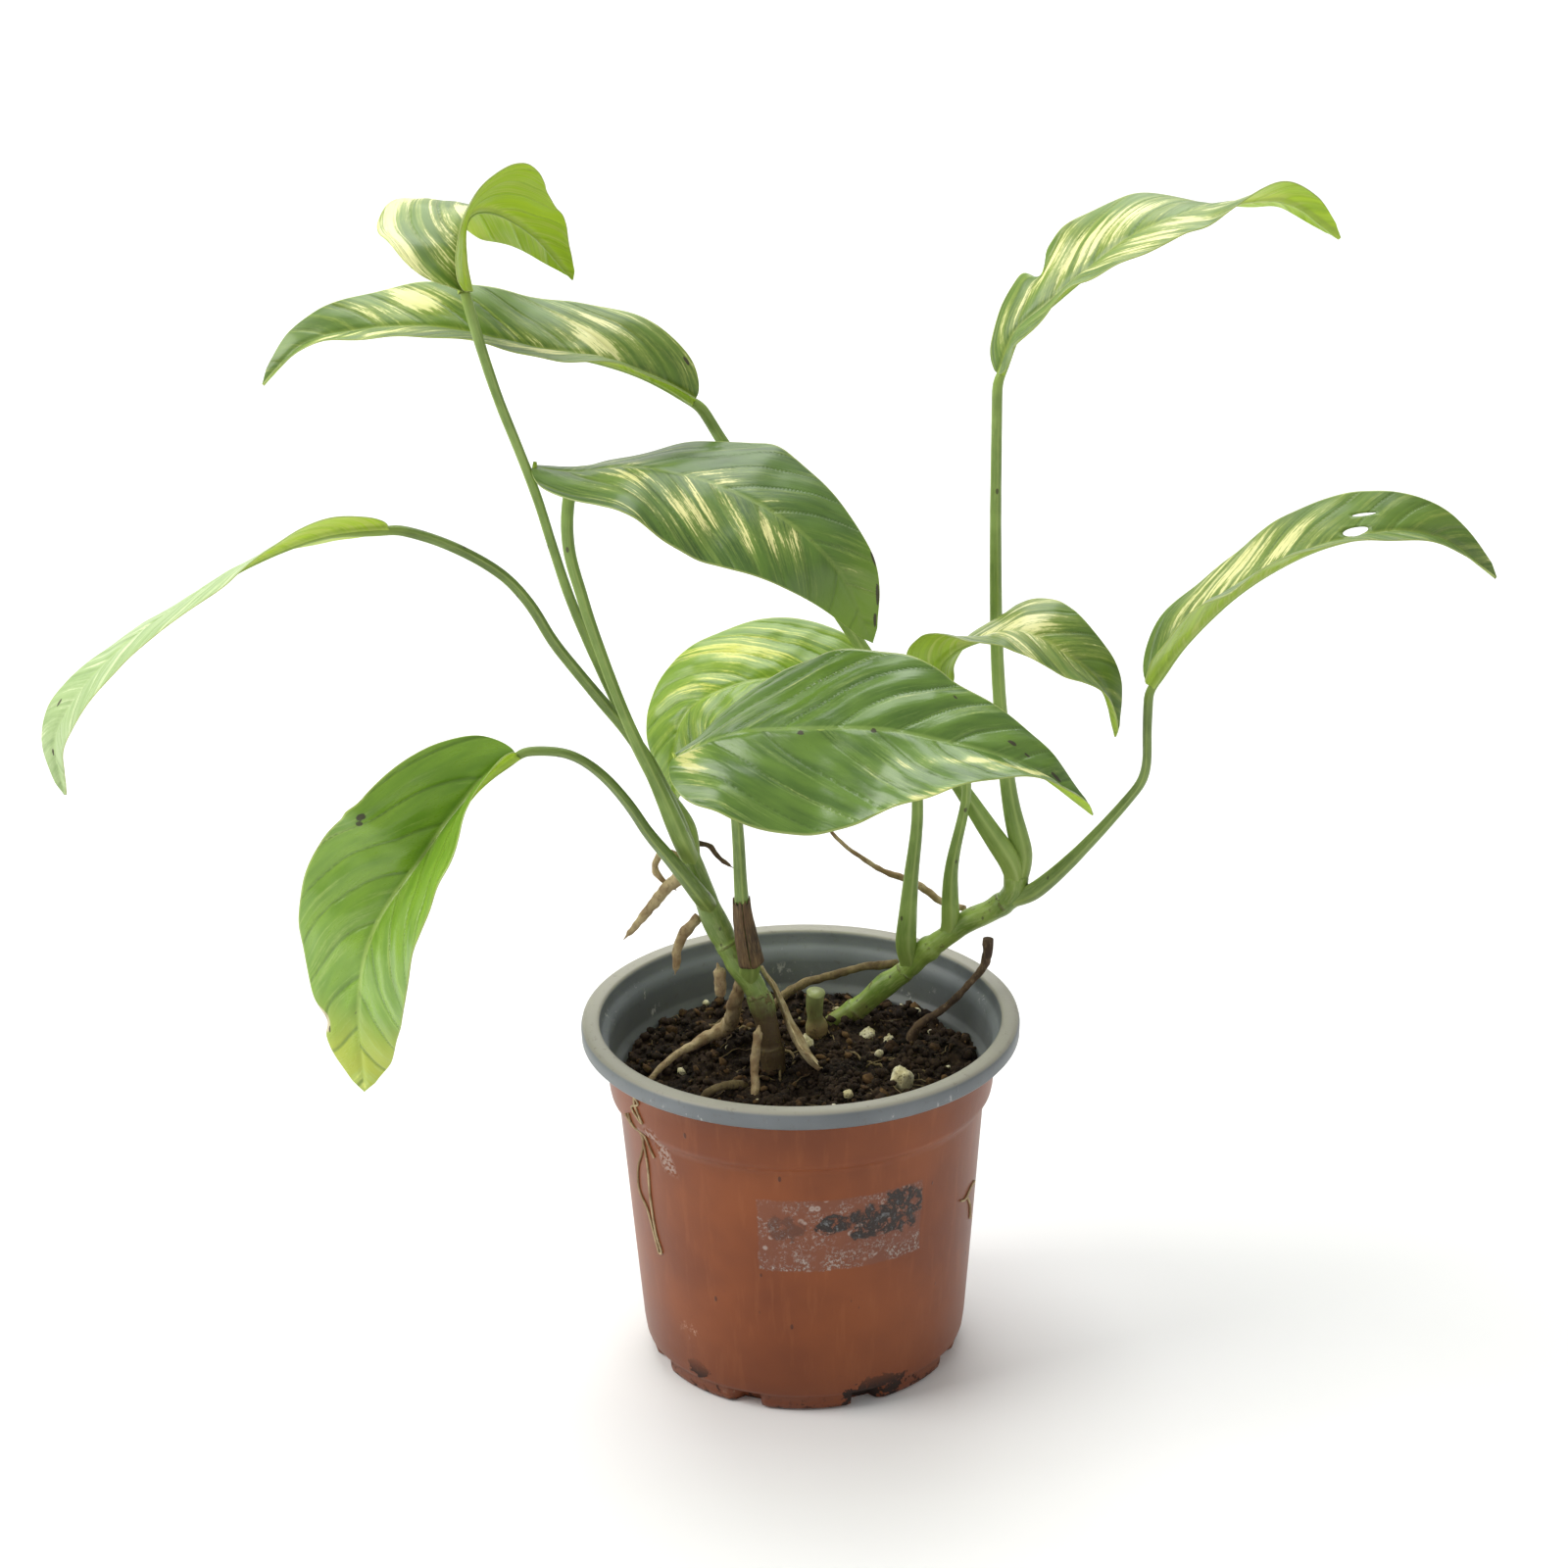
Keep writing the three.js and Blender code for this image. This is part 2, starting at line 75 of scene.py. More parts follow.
# %% Camera
LOOK_AT = Vector((-3.5, 0.0, 168.0)) * MM
DISTANCE = 1.1
ELEVATION = math.radians(22.5)
TILT = math.radians(-0.88)
FOCAL_LENGTH, SENSOR_WIDTH = 94.5, 36  # mm

back = Vector((0, -math.cos(ELEVATION), math.sin(ELEVATION)))
level_right = Vector((1, 0, 0))
level_up = back.cross(level_right)
right = math.cos(TILT) * level_right + math.sin(TILT) * level_up
up = math.cos(TILT) * level_up - math.sin(TILT) * level_right

lens = bpy.data.cameras.new("camera")
lens.lens = FOCAL_LENGTH
lens.sensor_width = SENSOR_WIDTH
camera = bpy.data.objects.new("camera", lens)
axes = Matrix((right, up, back)).transposed().to_4x4()
camera.matrix_world = Matrix.Translation(LOOK_AT + back * DISTANCE) @ axes
bpy.context.scene.collection.objects.link(camera)
bpy.context.scene.camera = camera
print("camera at", [round(c, 3) for c in camera.matrix_world.translation])

# %% [markdown]
# ## Floor and light
#
# Waxy leaves show their shape by reflecting something large and soft. So the main light is a wide
# panel high on the left, one overhead and a little behind puts a sheen on the blades, and a weak
# one fills from the right. The floor is a plain sheet that curves up into a backdrop.

# %% Floor and light
def grid_faces(rows, columns):
    """Four-sided faces over a grid of points that was listed row by row."""
    return [(i * columns + j, i * columns + j + 1, (i + 1) * columns + j + 1, (i + 1) * columns + j)
            for i in range(rows - 1) for j in range(columns - 1)]


def smooth_sheet(name, rows):
    """A mesh from rows of points, each row the same length."""
    grid = np.array(rows, float)
    mesh = bpy.data.meshes.new(name)
    mesh.from_pydata(grid.reshape(-1, 3), [], grid_faces(*grid.shape[:2]))
    mesh.polygons.foreach_set("use_smooth", [True] * len(mesh.polygons))
    sheet = bpy.data.objects.new(name, mesh)
    bpy.context.scene.collection.objects.link(sheet)
    return sheet


def backdrop_rows(width=6.0, reach=2.2, bend=1.0, height=5.0):
    route = [(-3.0, 0.0), (reach, 0.0)]
    route += [(reach + bend * math.sin(a), bend - bend * math.cos(a))
              for a in np.linspace(0.1, math.pi / 2, 16)]
    route += [(reach + bend, height)]
    return [[(x, y, z) for x in (-width, width)] for y, z in route]


floor = smooth_sheet("floor", backdrop_rows())
paper = bpy.data.materials.new("floor_paper")
paper.use_nodes = True
paper_shader = paper.node_tree.nodes["Principled BSDF"]
paper_shader.inputs["Base Color"].default_value = (0.9, 0.9, 0.89, 1)
paper_shader.inputs["Roughness"].default_value = 0.9
floor.data.materials.append(paper)
floor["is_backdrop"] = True


def panel(name, place, power, size, colour=(1, 1, 1), aim=LOOK_AT):
    """A soft square light that faces the plant, or another place."""
    light = bpy.data.lights.new(name, "AREA")
    light.energy, light.size, light.color = power, size, colour
    lamp = bpy.data.objects.new(name, light)
    lamp.location = place
    lamp.rotation_euler = (Vector(aim) - Vector(place)).to_track_quat("-Z", "Y").to_euler()
    bpy.context.scene.collection.objects.link(lamp)


panel("window", (-1.2, -0.22, 1.1), 19, 1.0, (1.0, 0.99, 0.97))
panel("sky", (-0.1, 0.45, 1.5), 11, 0.9, (0.97, 0.99, 1.0))
panel("fill", (1.3, -1.1, 0.6), 3.5, 1.1, (1.0, 0.98, 0.95))
panel("backdrop", (0, 1.9, 1.6), 22, 1.6, aim=(0, 2.0, 0))

world = bpy.data.worlds.new("studio")
world.use_nodes = True
world.node_tree.nodes["Background"].inputs["Color"].default_value = (1, 1, 1, 1)
world.node_tree.nodes["Background"].inputs["Strength"].default_value = 0.45
bpy.context.scene.world = world
bpy.context.scene.view_settings.view_transform = "Standard"

# %% [markdown]
# ## Shader sums
#
# Procedural colour is arithmetic on patterns, and it reads best as arithmetic. The class below
# wraps one output socket. Adding or multiplying two of them adds the Math node for it, while
# colours and vectors go through Mix and Vector Math, because a Math node would turn them grey.

# %% A socket that can be added and multiplied
class Wire:
    """One output socket of a shader tree."""

    NAMES = {"+": "ADD", "-": "SUBTRACT", "*": "MULTIPLY", "/": "DIVIDE"}

    def __init__(self, socket):
        self.socket = socket
        self.tree = socket.id_data

    @staticmethod
    def node(tree, kind, settings=None, sockets=None, output=0):
        """Adds a node, sets its settings and then its sockets, and returns one of its outputs."""
        made = tree.nodes.new("ShaderNode" + kind)
        for name, value in (settings or {}).items():
            if name == "stops":
                for place, colour in value[2:]:
                    made.color_ramp.elements.new(place)
                for stop, (place, colour) in zip(made.color_ramp.elements, value):
                    stop.position, stop.color = place, colour
            else:
                setattr(made, name, value)
        for name, value in (sockets or {}).items():
            if isinstance(value, Wire):
                tree.links.new(value.socket, made.inputs[name])
            else:
                made.inputs[name].default_value = value
        return Wire(made.outputs[output])

    def sum(self, sign, other, flipped=False):
        a, b = (other, self) if flipped else (self, other)
        kinds = {w.socket.type for w in (a, b) if isinstance(w, Wire)}
        if "RGBA" in kinds:
            pair = [w if isinstance(w, (Wire, tuple)) else (w, w, w, 1) for w in (a, b)]
            settings = {"data_type": "RGBA", "blend_type": self.NAMES[sign]}
            return self.node(self.tree, "Mix", settings, {0: 1.0, 6: pair[0], 7: pair[1]}, 2)
        if "VECTOR" in kinds:
            pair = [w if isinstance(w, (Wire, tuple)) else (w, w, w) for w in (a, b)]
            return self.node(self.tree, "VectorMath", {"operation": self.NAMES[sign]}, dict(enumerate(pair)))
        return self.node(self.tree, "Math", {"operation": self.NAMES[sign]}, {0: a, 1: b})

    def __add__(self, other): return self.sum("+", other)
    def __radd__(self, other): return self.sum("+", other, True)
    def __sub__(self, other): return self.sum("-", other)
    def __rsub__(self, other): return self.sum("-", other, True)
    def __mul__(self, other): return self.sum("*", other)
    def __rmul__(self, other): return self.sum("*", other, True)
    def __truediv__(self, other): return self.sum("/", other)
    def __rtruediv__(self, other): return self.sum("/", other, True)

    def math(self, operation, other=0.0):
        return self.node(self.tree, "Math", {"operation": operation}, {0: self, 1: other})

    def step(self, low, high):
        """0 below low and 1 above high, with a soft change between. low may be the larger."""
        flip = low > high
        ends = {"Value": self, "From Min": min(low, high), "From Max": max(low, high)}
        ends.update({"To Min": float(flip), "To Max": float(not flip)})
        return self.node(self.tree, "MapRange", {"interpolation_type": "SMOOTHSTEP"}, ends)

    def between(self, low, high, soft):
        return self.step(low - soft, low + soft) * self.step(high + soft, high - soft)

    def mix(self, a, b):
        """Colour a where this is 0 and b where it is 1."""
        settings = {"data_type": "RGBA", "clamp_factor": True}
        return self.node(self.tree, "Mix", settings, {0: self, 6: a, 7: b}, 2)

    def axis(self, name):
        return self.node(self.tree, "SeparateXYZ", {}, {0: self}, name)


# %% [markdown]
# ## Patterns and finishes
#
# Nearly every natural surface here is the same few patterns at different sizes: soft noise for
# tone, stretched noise for fibres, cells for grains. Sizes are given in millimetres, so a texture
# can be checked against the real thing. A finish is one Principled shader, whose fixed numbers
# sit on its own sockets.

# %% Patterns and finishes
def rgb(r, g, b):
    """A linear colour from the usual 0 to 255 values."""
    linear = [((c / 255 + 0.055) / 1.055) ** 2.4 if c > 10 else c / 255 / 12.92 for c in (r, g, b)]
    return (*linear, 1.0)


def place_mm(tree):
    return Wire.node(tree, "TexCoord", output="Object") * (1 / MM)


def attribute(tree, name, output="Fac"):
    return Wire.node(tree, "Attribute", {"attribute_name": name}, output=output)


def cloud(where, size, detail=3.0, rough=0.55, warp=0.0):
    """Soft noise whose blobs are about size across."""
    sockets = {"Vector": where, "Scale": 1.0 / size, "Detail": detail}
    sockets.update({"Roughness": rough, "Distortion": warp})
    return Wire.node(where.tree, "TexNoise", {}, sockets, "Fac")


def cells(where, size):
    """Cells about size across: 0 in the middle of each, and more towards its edge."""
    return Wire.node(where.tree, "TexVoronoi", {}, {"Vector": where, "Scale": 1.0 / size}, "Distance")


def finish(name, **fixed):
    """A material, its tree, and its fixed sockets set by name, with _ for a space."""
    material = bpy.data.materials.new(name)
    material.use_nodes = True
    tree = material.node_tree
    shader = tree.nodes["Principled BSDF"]
    for key, value in fixed.items():
        shader.inputs[key.replace("_", " ")].default_value = value
    return material, tree


def connect(tree, colour=None, roughness=None, height=None, depth=0.2):
    """Links what varies. height is a pattern from 0 to 1, and depth its relief in mm."""
    shader = tree.nodes["Principled BSDF"]
    for name, wire in (("Base Color", colour), ("Roughness", roughness)):
        if wire is not None:
            tree.links.new(wire.socket, shader.inputs[name])
    if height is not None:
        bump = Wire.node(tree, "Bump", {}, {"Height": height, "Distance": depth * MM, "Strength": 1.0})
        tree.links.new(bump.socket, shader.inputs["Normal"])


# %% [markdown]
# ## Reading a grown shape back from its solid
#
# Every stem, stalk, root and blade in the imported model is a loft: rings of points from one end to
# the other, closed by a point at each end. That end point is the only one with as many neighbours
# as a ring has points. So we can find it, walk outwards ring by ring, and get the centre line back
# without typing in a single place twice.

# %% Rings of a lofted node
def welded(node):
    """(points in mm, neighbours of each point) of a node, with doubled points joined."""
    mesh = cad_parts[node].data
    raw = np.array([v.co for v in mesh.vertices]) / MM
    _, first, same = np.unique(np.round(raw, 3), axis=0, return_index=True, return_inverse=True)
    same = same.reshape(-1)
    near = [set() for _ in first]
    for polygon in mesh.polygons:
        corners = [same[v] for v in polygon.vertices]
        for a, b in zip(corners, corners[1:] + corners[:1]):
            if a != b:
                near[a].add(b)
                near[b].add(a)
    return raw[first], near


def ring_sets(near, start):
    """The points by how many steps they are from start."""
    seen, layers = {start}, [{start}]
    while layers[-1]:
        layers.append({n for p in layers[-1] for n in near[p]} - seen)
        seen |= layers[-1]
    return layers[:-1]


def loop_order(ring, near):
    """The points of one ring in order round it."""
    order = [min(ring)]
    while len(order) < len(ring):
        order.append(min(n for n in near[order[-1]] & ring if n not in order))
    return order


def follow(ring, order, near, shift):
    """Another ring, with its points matched to the order of the one before it."""
    size = len(order)
    return [min((near[order[j]] & near[order[(j + shift) % size]] & ring), default=None) for j in range(size)]


def rings_of(node, towards, order_middle=None):
    """An array of rings from the end nearest to the point towards, each with matched points."""
    points, near = welded(node)
    ends = sorted(range(len(near)), key=lambda p: -len(near[p]))[:2]
    ends.sort(key=lambda p: np.linalg.norm(points[p] - towards))
    layers = ring_sets(near, ends[0])[1:-1]
    middle = len(layers) // 2
    best = None
    for shift in (1, -1):
        orders = {middle: loop_order(layers[middle], near)}
        if order_middle:
            orders[middle] = order_middle(points, orders[middle])
        for i in range(middle + 1, len(layers)):
            orders[i] = follow(layers[i], orders[i - 1], near, shift)
        for i in range(middle - 1, -1, -1):
            orders[i] = follow(layers[i], orders[i + 1], near, -shift)
        if any(None in order for order in orders.values()):
            continue
        grid = np.array([points[orders[i]] for i in range(len(layers))])
        length = np.linalg.norm(np.diff(grid, axis=0), axis=2).sum()
        if best is None or length < best[0]:
            best = (length, grid)
    return best[1]


def centre_of(node):
    low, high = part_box(node)
    return np.array((low + high) / 2) / MM


# %% [markdown]
# A few rings are enough to place a shape, but not to show it. A Catmull-Rom curve passes through
# every ring and rounds what lies between, which suits plants: they have no straight lines.

# %% Smooth curves through the rings
def resample(values, shares):
    """values, evenly spread from 0 to 1, read on a smooth curve at each share."""
    values = np.asarray(values, float)
    last = len(values) - 1
    place = np.clip(np.asarray(shares, float), 0, 1) * last
    i = np.minimum(place.astype(int), last - 1)
    w = (place - i).reshape(-1, *[1] * (values.ndim - 1))
    padded = np.concatenate([2 * values[:1] - values[1:2], values, 2 * values[-1:] - values[-2:-1]])
    p0, p1, p2, p3 = padded[i], padded[i + 1], padded[i + 2], padded[i + 3]
    return p1 + 0.5 * w * (p2 - p0 + w * (2 * p0 - 5 * p1 + 4 * p2 - p3 + w * (3 * (p1 - p2) + p3 - p0)))


def unit(v):
    return v / np.maximum(np.linalg.norm(v, axis=-1, keepdims=True), 1e-9)


def frames_along(centres, first_normal):
    """(tangents, normals, sides) along a line of points, turning as little as possible."""
    tangents = unit(np.gradient(centres, axis=0))
    normals = [unit(first_normal - tangents[0] * (first_normal @ tangents[0]))]
    for tangent in tangents[1:]:
        normals.append(unit(normals[-1] - tangent * (normals[-1] @ tangent)))
    normals = np.array(normals)
    return tangents, normals, np.cross(tangents, normals)


def piece(name, points, faces, attributes=None, materials=(), replaces=()):
    """A mesh piece that rides on the plant's body. points are in mm."""
    mesh = bpy.data.meshes.new(name)
    mesh.from_pydata(np.asarray(points) * MM, [], faces)
    mesh.polygons.foreach_set("use_smooth", [True] * len(mesh.polygons))
    for key, values in (attributes or {}).items():
        values = np.asarray(values, float)
        vector = values.ndim == 2
        layer = mesh.attributes.new(key, "FLOAT_VECTOR" if vector else "FLOAT", "POINT")
        layer.data.foreach_set("vector" if vector else "value", values.reshape(-1))
    for material in materials:
        mesh.materials.append(material)
    made = bpy.data.objects.new(name, mesh)
    bpy.context.scene.collection.objects.link(made)
    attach(made, BODY)
    if replaces:
        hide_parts(*replaces)
    return made


def bumps(points, size, seed=0.0):
    """Smooth noise from -1 to 1 at each point, with blobs about size mm across."""
    shift = Vector((seed * 17.3, seed * 5.1, -seed * 9.7))
    return np.array([noise.noise(Vector(p) / size + shift) for p in np.asarray(points).reshape(-1, 3)])


def tube_mesh(centres, radii, sides, shape=None, first_normal=(0.2, -0.3, 0.9), roughness=0.0, grain=3.0,
              seed=0.0):
    """(points, faces, shares, angles) of a closed tube. shape(share, angle) scales its radius."""
    count = len(centres)
    _, normals, across = frames_along(centres, np.array(first_normal))
    angles = np.linspace(0, 2 * math.pi, sides, endpoint=False)
    share_grid, angle_grid = np.meshgrid(np.linspace(0, 1, count), angles, indexing="ij")
    scale = shape(share_grid, angle_grid) if shape else np.ones_like(share_grid)
    turn = np.cos(angle_grid)[..., None] * normals[:, None] + np.sin(angle_grid)[..., None] * across[:, None]
    points = centres[:, None] + turn * (np.asarray(radii)[:, None] * scale)[..., None]
    if roughness:
        lumps = bumps(points, grain, seed).reshape(count, sides)
        points = points + turn * (lumps * roughness * np.asarray(radii)[:, None])[..., None]
    flat = np.concatenate([points.reshape(-1, 3), centres[:1], centres[-1:]])
    first, last = count * sides, count * sides + 1
    faces = [(i * sides + j, i * sides + (j + 1) % sides,
              (i + 1) * sides + (j + 1) % sides, (i + 1) * sides + j)
             for i in range(count - 1) for j in range(sides)]
    faces += [(first, (j + 1) % sides, j) for j in range(sides)]
    end = (count - 1) * sides
    faces += [(last, end + j, end + (j + 1) % sides) for j in range(sides)]
    shares = np.concatenate([share_grid.reshape(-1), [0, 1]])
    return flat, faces, shares, np.concatenate([angle_grid.reshape(-1), [0, 0]])


def core_of(node, towards, stations, stretch=0.0):
    """(centre line, radii) of a lofted node, smoothed, and run on past both ends by stretch mm."""
    rings = rings_of(node, towards)
    centres = rings.mean(axis=1)
    radii = np.linalg.norm(rings - centres[:, None], axis=2).mean(axis=1)
    shares = np.linspace(0, 1, stations)
    line, size = resample(centres, shares), resample(radii, shares)
    if stretch:
        line[0] -= unit(line[1] - line[0]) * stretch
        line[-1] += unit(line[-1] - line[-2]) * stretch
    return line, size


print("rings of stem_left", rings_of("stem_left", np.zeros(3)).shape)

# %% [markdown]
# ## The nursery pot
#
# A nursery pot is thin sheet plastic, pressed from a sheet that is terracotta on one side and grey
# on the other. The wall rises from a rounded foot to a step, a plain band, and a rim that rolls
# outwards and so shows the grey side. It is round, so it is a profile turned on an axis, and only
# the foot breaks the roundness, with its drain notches.

# %% The pot's shape
_, pot_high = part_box("nursery_pot")
RIM = pot_high.x / MM
TALL = pot_high.z / MM
FOOT = RIM - 16.3
TURNS = 192

OUTSIDE = [(0, 0.6), (FOOT - 9, 0.6), (FOOT - 6, 0), (FOOT - 2.4, 0.1), (FOOT - 1.2, 0.8), (FOOT - 0.7, 2.4),
           (FOOT - 0.4, 4.8), (FOOT + 0.5, 5.5), (FOOT + 0.8, 6.4), (FOOT + 1.3, 10), (FOOT + 2.6, 26),
           (FOOT + 4, 44), (FOOT + 5.3, 61), (FOOT + 6.5, 76), (FOOT + 6.7, 77.4), (FOOT + 7.6, 78.6),
           (FOOT + 8.7, 79.6), (FOOT + 9, 81), (FOOT + 9.6, 87), (FOOT + 10.1, 93.6), (FOOT + 10.6, 94.9),
           (FOOT + 11.9, 95.6)]
ROLLED = [(RIM - 4.1, 98.4), (RIM - 1.5, 98.6), (RIM - 1.1, 95.4), (RIM - 0.6, 94.8), (RIM - 0.1, 95.4),
          (RIM, 98.2), (RIM - 0.3, 99.4), (RIM - 1.2, TALL), (RIM - 4.2, TALL - 0.1), (RIM - 4.9, 99.6)]
INSIDE = [(RIM - 5.1, 98.6), (RIM - 5.3, 96.4), (RIM - 5.9, 95.3), (RIM - 7.2, 94.6), (RIM - 7.5, 91),
          (RIM - 8.0, 85.2), (RIM - 8.3, 84.2), (RIM - 9.7, 83.3), (RIM - 10.2, 82.4), (RIM - 10.9, 74),
          (RIM - 15.2, 20), (RIM - 16.3, 9.5), (RIM - 18, 7.4), (RIM - 22, 6.9), (0, 6.9)]
STEP_HEIGHT = 5.2
NOTCH_HALF_WIDTH = 4.5
NOTCH_DEPTH = 4.0


def pot_mesh():
    profile = OUTSIDE + ROLLED + INSIDE
    grey = [0.0] * len(OUTSIDE) + [1.0] * (len(ROLLED) + len(INSIDE))
    angles = np.linspace(0, 2 * math.pi, TURNS, endpoint=False)
    off_notch = angles % (math.pi / 4) - math.pi / 8
    notch = np.clip((NOTCH_HALF_WIDTH - np.abs(off_notch) * FOOT) / 1.2, 0, 1)
    points, tone = [(0, 0, profile[0][1])], [0.0]
    for (r, z), g in list(zip(profile, grey))[1:-1]:
        cut = NOTCH_DEPTH if z < STEP_HEIGHT and r > FOOT - 3 and g == 0 else 0.0
        for a, n in zip(angles, notch):
            points.append(((r - cut * n) * math.cos(a), (r - cut * n) * math.sin(a), z))
            tone.append(g)
    points.append((0, 0, profile[-1][1]))
    tone.append(1.0)
    rows = len(profile) - 2
    faces = [(1 + i * TURNS + j, 1 + i * TURNS + (j + 1) % TURNS, 1 + (i + 1) * TURNS + (j + 1) % TURNS,
              1 + (i + 1) * TURNS + j) for i in range(rows - 1) for j in range(TURNS)]
    faces += [(0, 1 + (j + 1) % TURNS, 1 + j) for j in range(TURNS)]
    end = 1 + (rows - 1) * TURNS
    faces += [(len(points) - 1, end + j, end + (j + 1) % TURNS) for j in range(TURNS)]
    return points, faces, {"grey": tone}


print("pot", round(RIM * 2), "mm over the rim,", round(TALL), "mm tall")

# %% [markdown]
# The pot has been used. A label has been pulled off the front and left a patch of pale gum with
# black mould at one end, soil has dried on the foot, and the wall is scuffed. All of this is
# placed by distance round the wall and height, so we first turn the place into those two.

# %% The pot's finish
def pot_finish():
    material, tree = finish("pot_plastic_two_tone", Specular_IOR_Level=0.32)
    where = place_mm(tree)
    x, y, z = (where.axis(name) for name in "XYZ")
    around = x.math("ARCTAN2", 0.0 - y) * 49.0
    grey = attribute(tree, "grey").step(0.3, 0.7)

    tone = cloud(where, 34)
    fine = cloud(where, 1.6, 5, 0.7)
    clay = tone.step(0.3, 0.7).mix(rgb(114, 56, 25), rgb(134, 70, 32))
    clay = (fine.step(0.56, 0.74) * 0.3).mix(clay, rgb(112, 56, 34))
    streaks = cloud(where * (1, 1, 0.12), 2.4, 4)
    clay = (streaks.step(0.52, 0.7) * 0.14).mix(clay, rgb(164, 100, 58))
    clay = (z.step(34, 3) * 0.4).mix(clay, rgb(98, 52, 30))

    ragged = cloud(where, 3.0, 4) - 0.5
    film = (around + ragged * 1.5).between(-12.5, 34.5, 0.35) * (z + ragged * 1.5).between(46.5, 68.5, 0.35)
    clay = (film * 0.4).mix(clay, rgb(112, 78, 68))
    flakes = cloud(where, 0.9, 5, 0.8).step(0.5, 0.62) * cloud(where, 5, 3).step(0.4, 0.6)
    dots = cells(where, 3.4).between(0.1, 0.26, 0.06) * cloud(where, 6, 2).step(0.5, 0.6)
    gum = film * (flakes * 0.8 + dots * 0.7 + z.step(52, 47) * flakes).math("MINIMUM", 1.0)
    clay = (gum * 0.7).mix(clay, rgb(196, 186, 178))

    def blob(u, v, wide, tall):
        """1 inside an oval that lies round the wall at u and v, with a soft ragged edge."""
        across, high = (around - u) / wide, (z - v) / tall
        return (across * across + high * high + ragged * 3.4).step(1.2, 0.7)

    marks = blob(28, 62, 7, 7) + blob(18, 60, 8, 5) + blob(8, 61, 5, 3) + blob(-5, 60, 5, 4) * 0.45
    marks = marks.math("MINIMUM", 1.0) * film
    mottle = cloud(where, 2.7, 5, 0.75, 0.5)
    clay = (marks * mottle.step(0.38, 0.48) * 0.92).mix(clay, rgb(30, 31, 30))
    clay = (marks * mottle.step(0.55, 0.68) * 0.55).mix(clay, rgb(138, 142, 144))

    scuff = ((around + 41.5) / 2.6 + (z - 76) * 0.16).between(-1, 1, 0.4) * z.between(70, 82, 1.5)
    clay = (scuff * cloud(where, 1.1, 4).step(0.42, 0.55) * 0.8).mix(clay, rgb(170, 150, 140))
    nicks = cells(where * (1, 1, 0.5), 7).step(0.075, 0.05)
    clay = (nicks * 0.7).mix(clay, rgb(60, 34, 24))
    front_dirt = blob(22, 5, 11, 4.5) + blob(-35, 9, 4, 3)
    splash = cloud(where, 3.2, 5, 0.75)
    soil = (splash + front_dirt * 0.3 + z.step(7, 0) * 0.16).step(0.66, 0.76) * z.step(14, 5)
    clay = (soil * 0.94).mix(clay, rgb(27, 22, 19))
    peeled = (blob(-22, 4, 7, 1.6) + blob(-38, 20, 4, 3)) * flakes
    clay = (peeled.math("MINIMUM", 1.0) * 0.7).mix(clay, rgb(196, 160, 136))

    slate = tone.step(0.3, 0.7).mix(rgb(104, 109, 112), rgb(122, 127, 130))
    # Painted light: the flat top of the rolled rim is painted lighter and beige, as if lit from above.
    slate = z.step(98.9, 99.7).mix(slate, rgb(152, 149, 137))
    # Painted shade: the inner wall is painted darker below the rim, down towards the soil.
    slate = (z.step(93, 86) * 0.35).mix(slate, rgb(86, 84, 78))
    slate = (cloud(where, 2.2, 5, 0.75).step(0.57, 0.7) * 0.4).mix(slate, rgb(92, 86, 78))
    lime = cloud(where * (1, 1, 0.5), 2.2, 5, 0.75).step(0.58, 0.66) * (cloud(where, 14, 2).step(0.5, 0.6))
    slate = (lime * z.between(84.5, 97, 1) * 0.6).mix(slate, rgb(206, 206, 202))

    colour = grey.mix(clay, slate)
    dull = (gum + soil + scuff).math("MINIMUM", 1.0)
    roughness = tone * 0.12 + 0.34 + dull * 0.35 + grey * 0.05
    relief = fine * 0.25 + gum * 0.6 + soil * 1.2 + nicks * 0.5
    connect(tree, colour, roughness, relief, 0.12)
    return material


points, faces, tones = pot_mesh()
pot = piece("pot_shell", points, faces, tones, [pot_finish()], ["nursery_pot"])
print("pot faces", len(pot.data.polygons))

# %% [markdown]
# ## Soil
#
# Potting mix is peat, bark and fibre, with pumice to keep it open. From close by it is all crumbs,
# so a smooth disc with a brown texture never looks right. The body below is a disc with three
# sizes of hummock pushed into it, and hundreds of loose crumbs, chips and fibres lie on top.

# %% The soil's body
SOIL_TOP = 85.2  # mm over the pot's base
_, soil_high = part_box("soil")
SOIL_R = soil_high.x / MM - 0.3
SOIL_BASE = 8.5


def soil_height(x, y):
    """The surface's height over the base, in mm."""
    low = math.sin(x * 0.21 + 1) * math.cos(y * 0.17) + 0.6 * math.sin(x * 0.11 - y * 0.23)
    edge = ((x * x + y * y) / 2500) ** 2
    crumb = 1.0 * noise.noise(Vector((x, y, 0)) / 5.5) + 1.3 * noise.noise(Vector((x, y, 4)) / 2.3)
    crumb += 1.1 * abs(noise.noise(Vector((x, y, 9)) / 1.1)) - 0.4
    return SOIL_TOP + 1.3 * low - 3.4 * edge + crumb


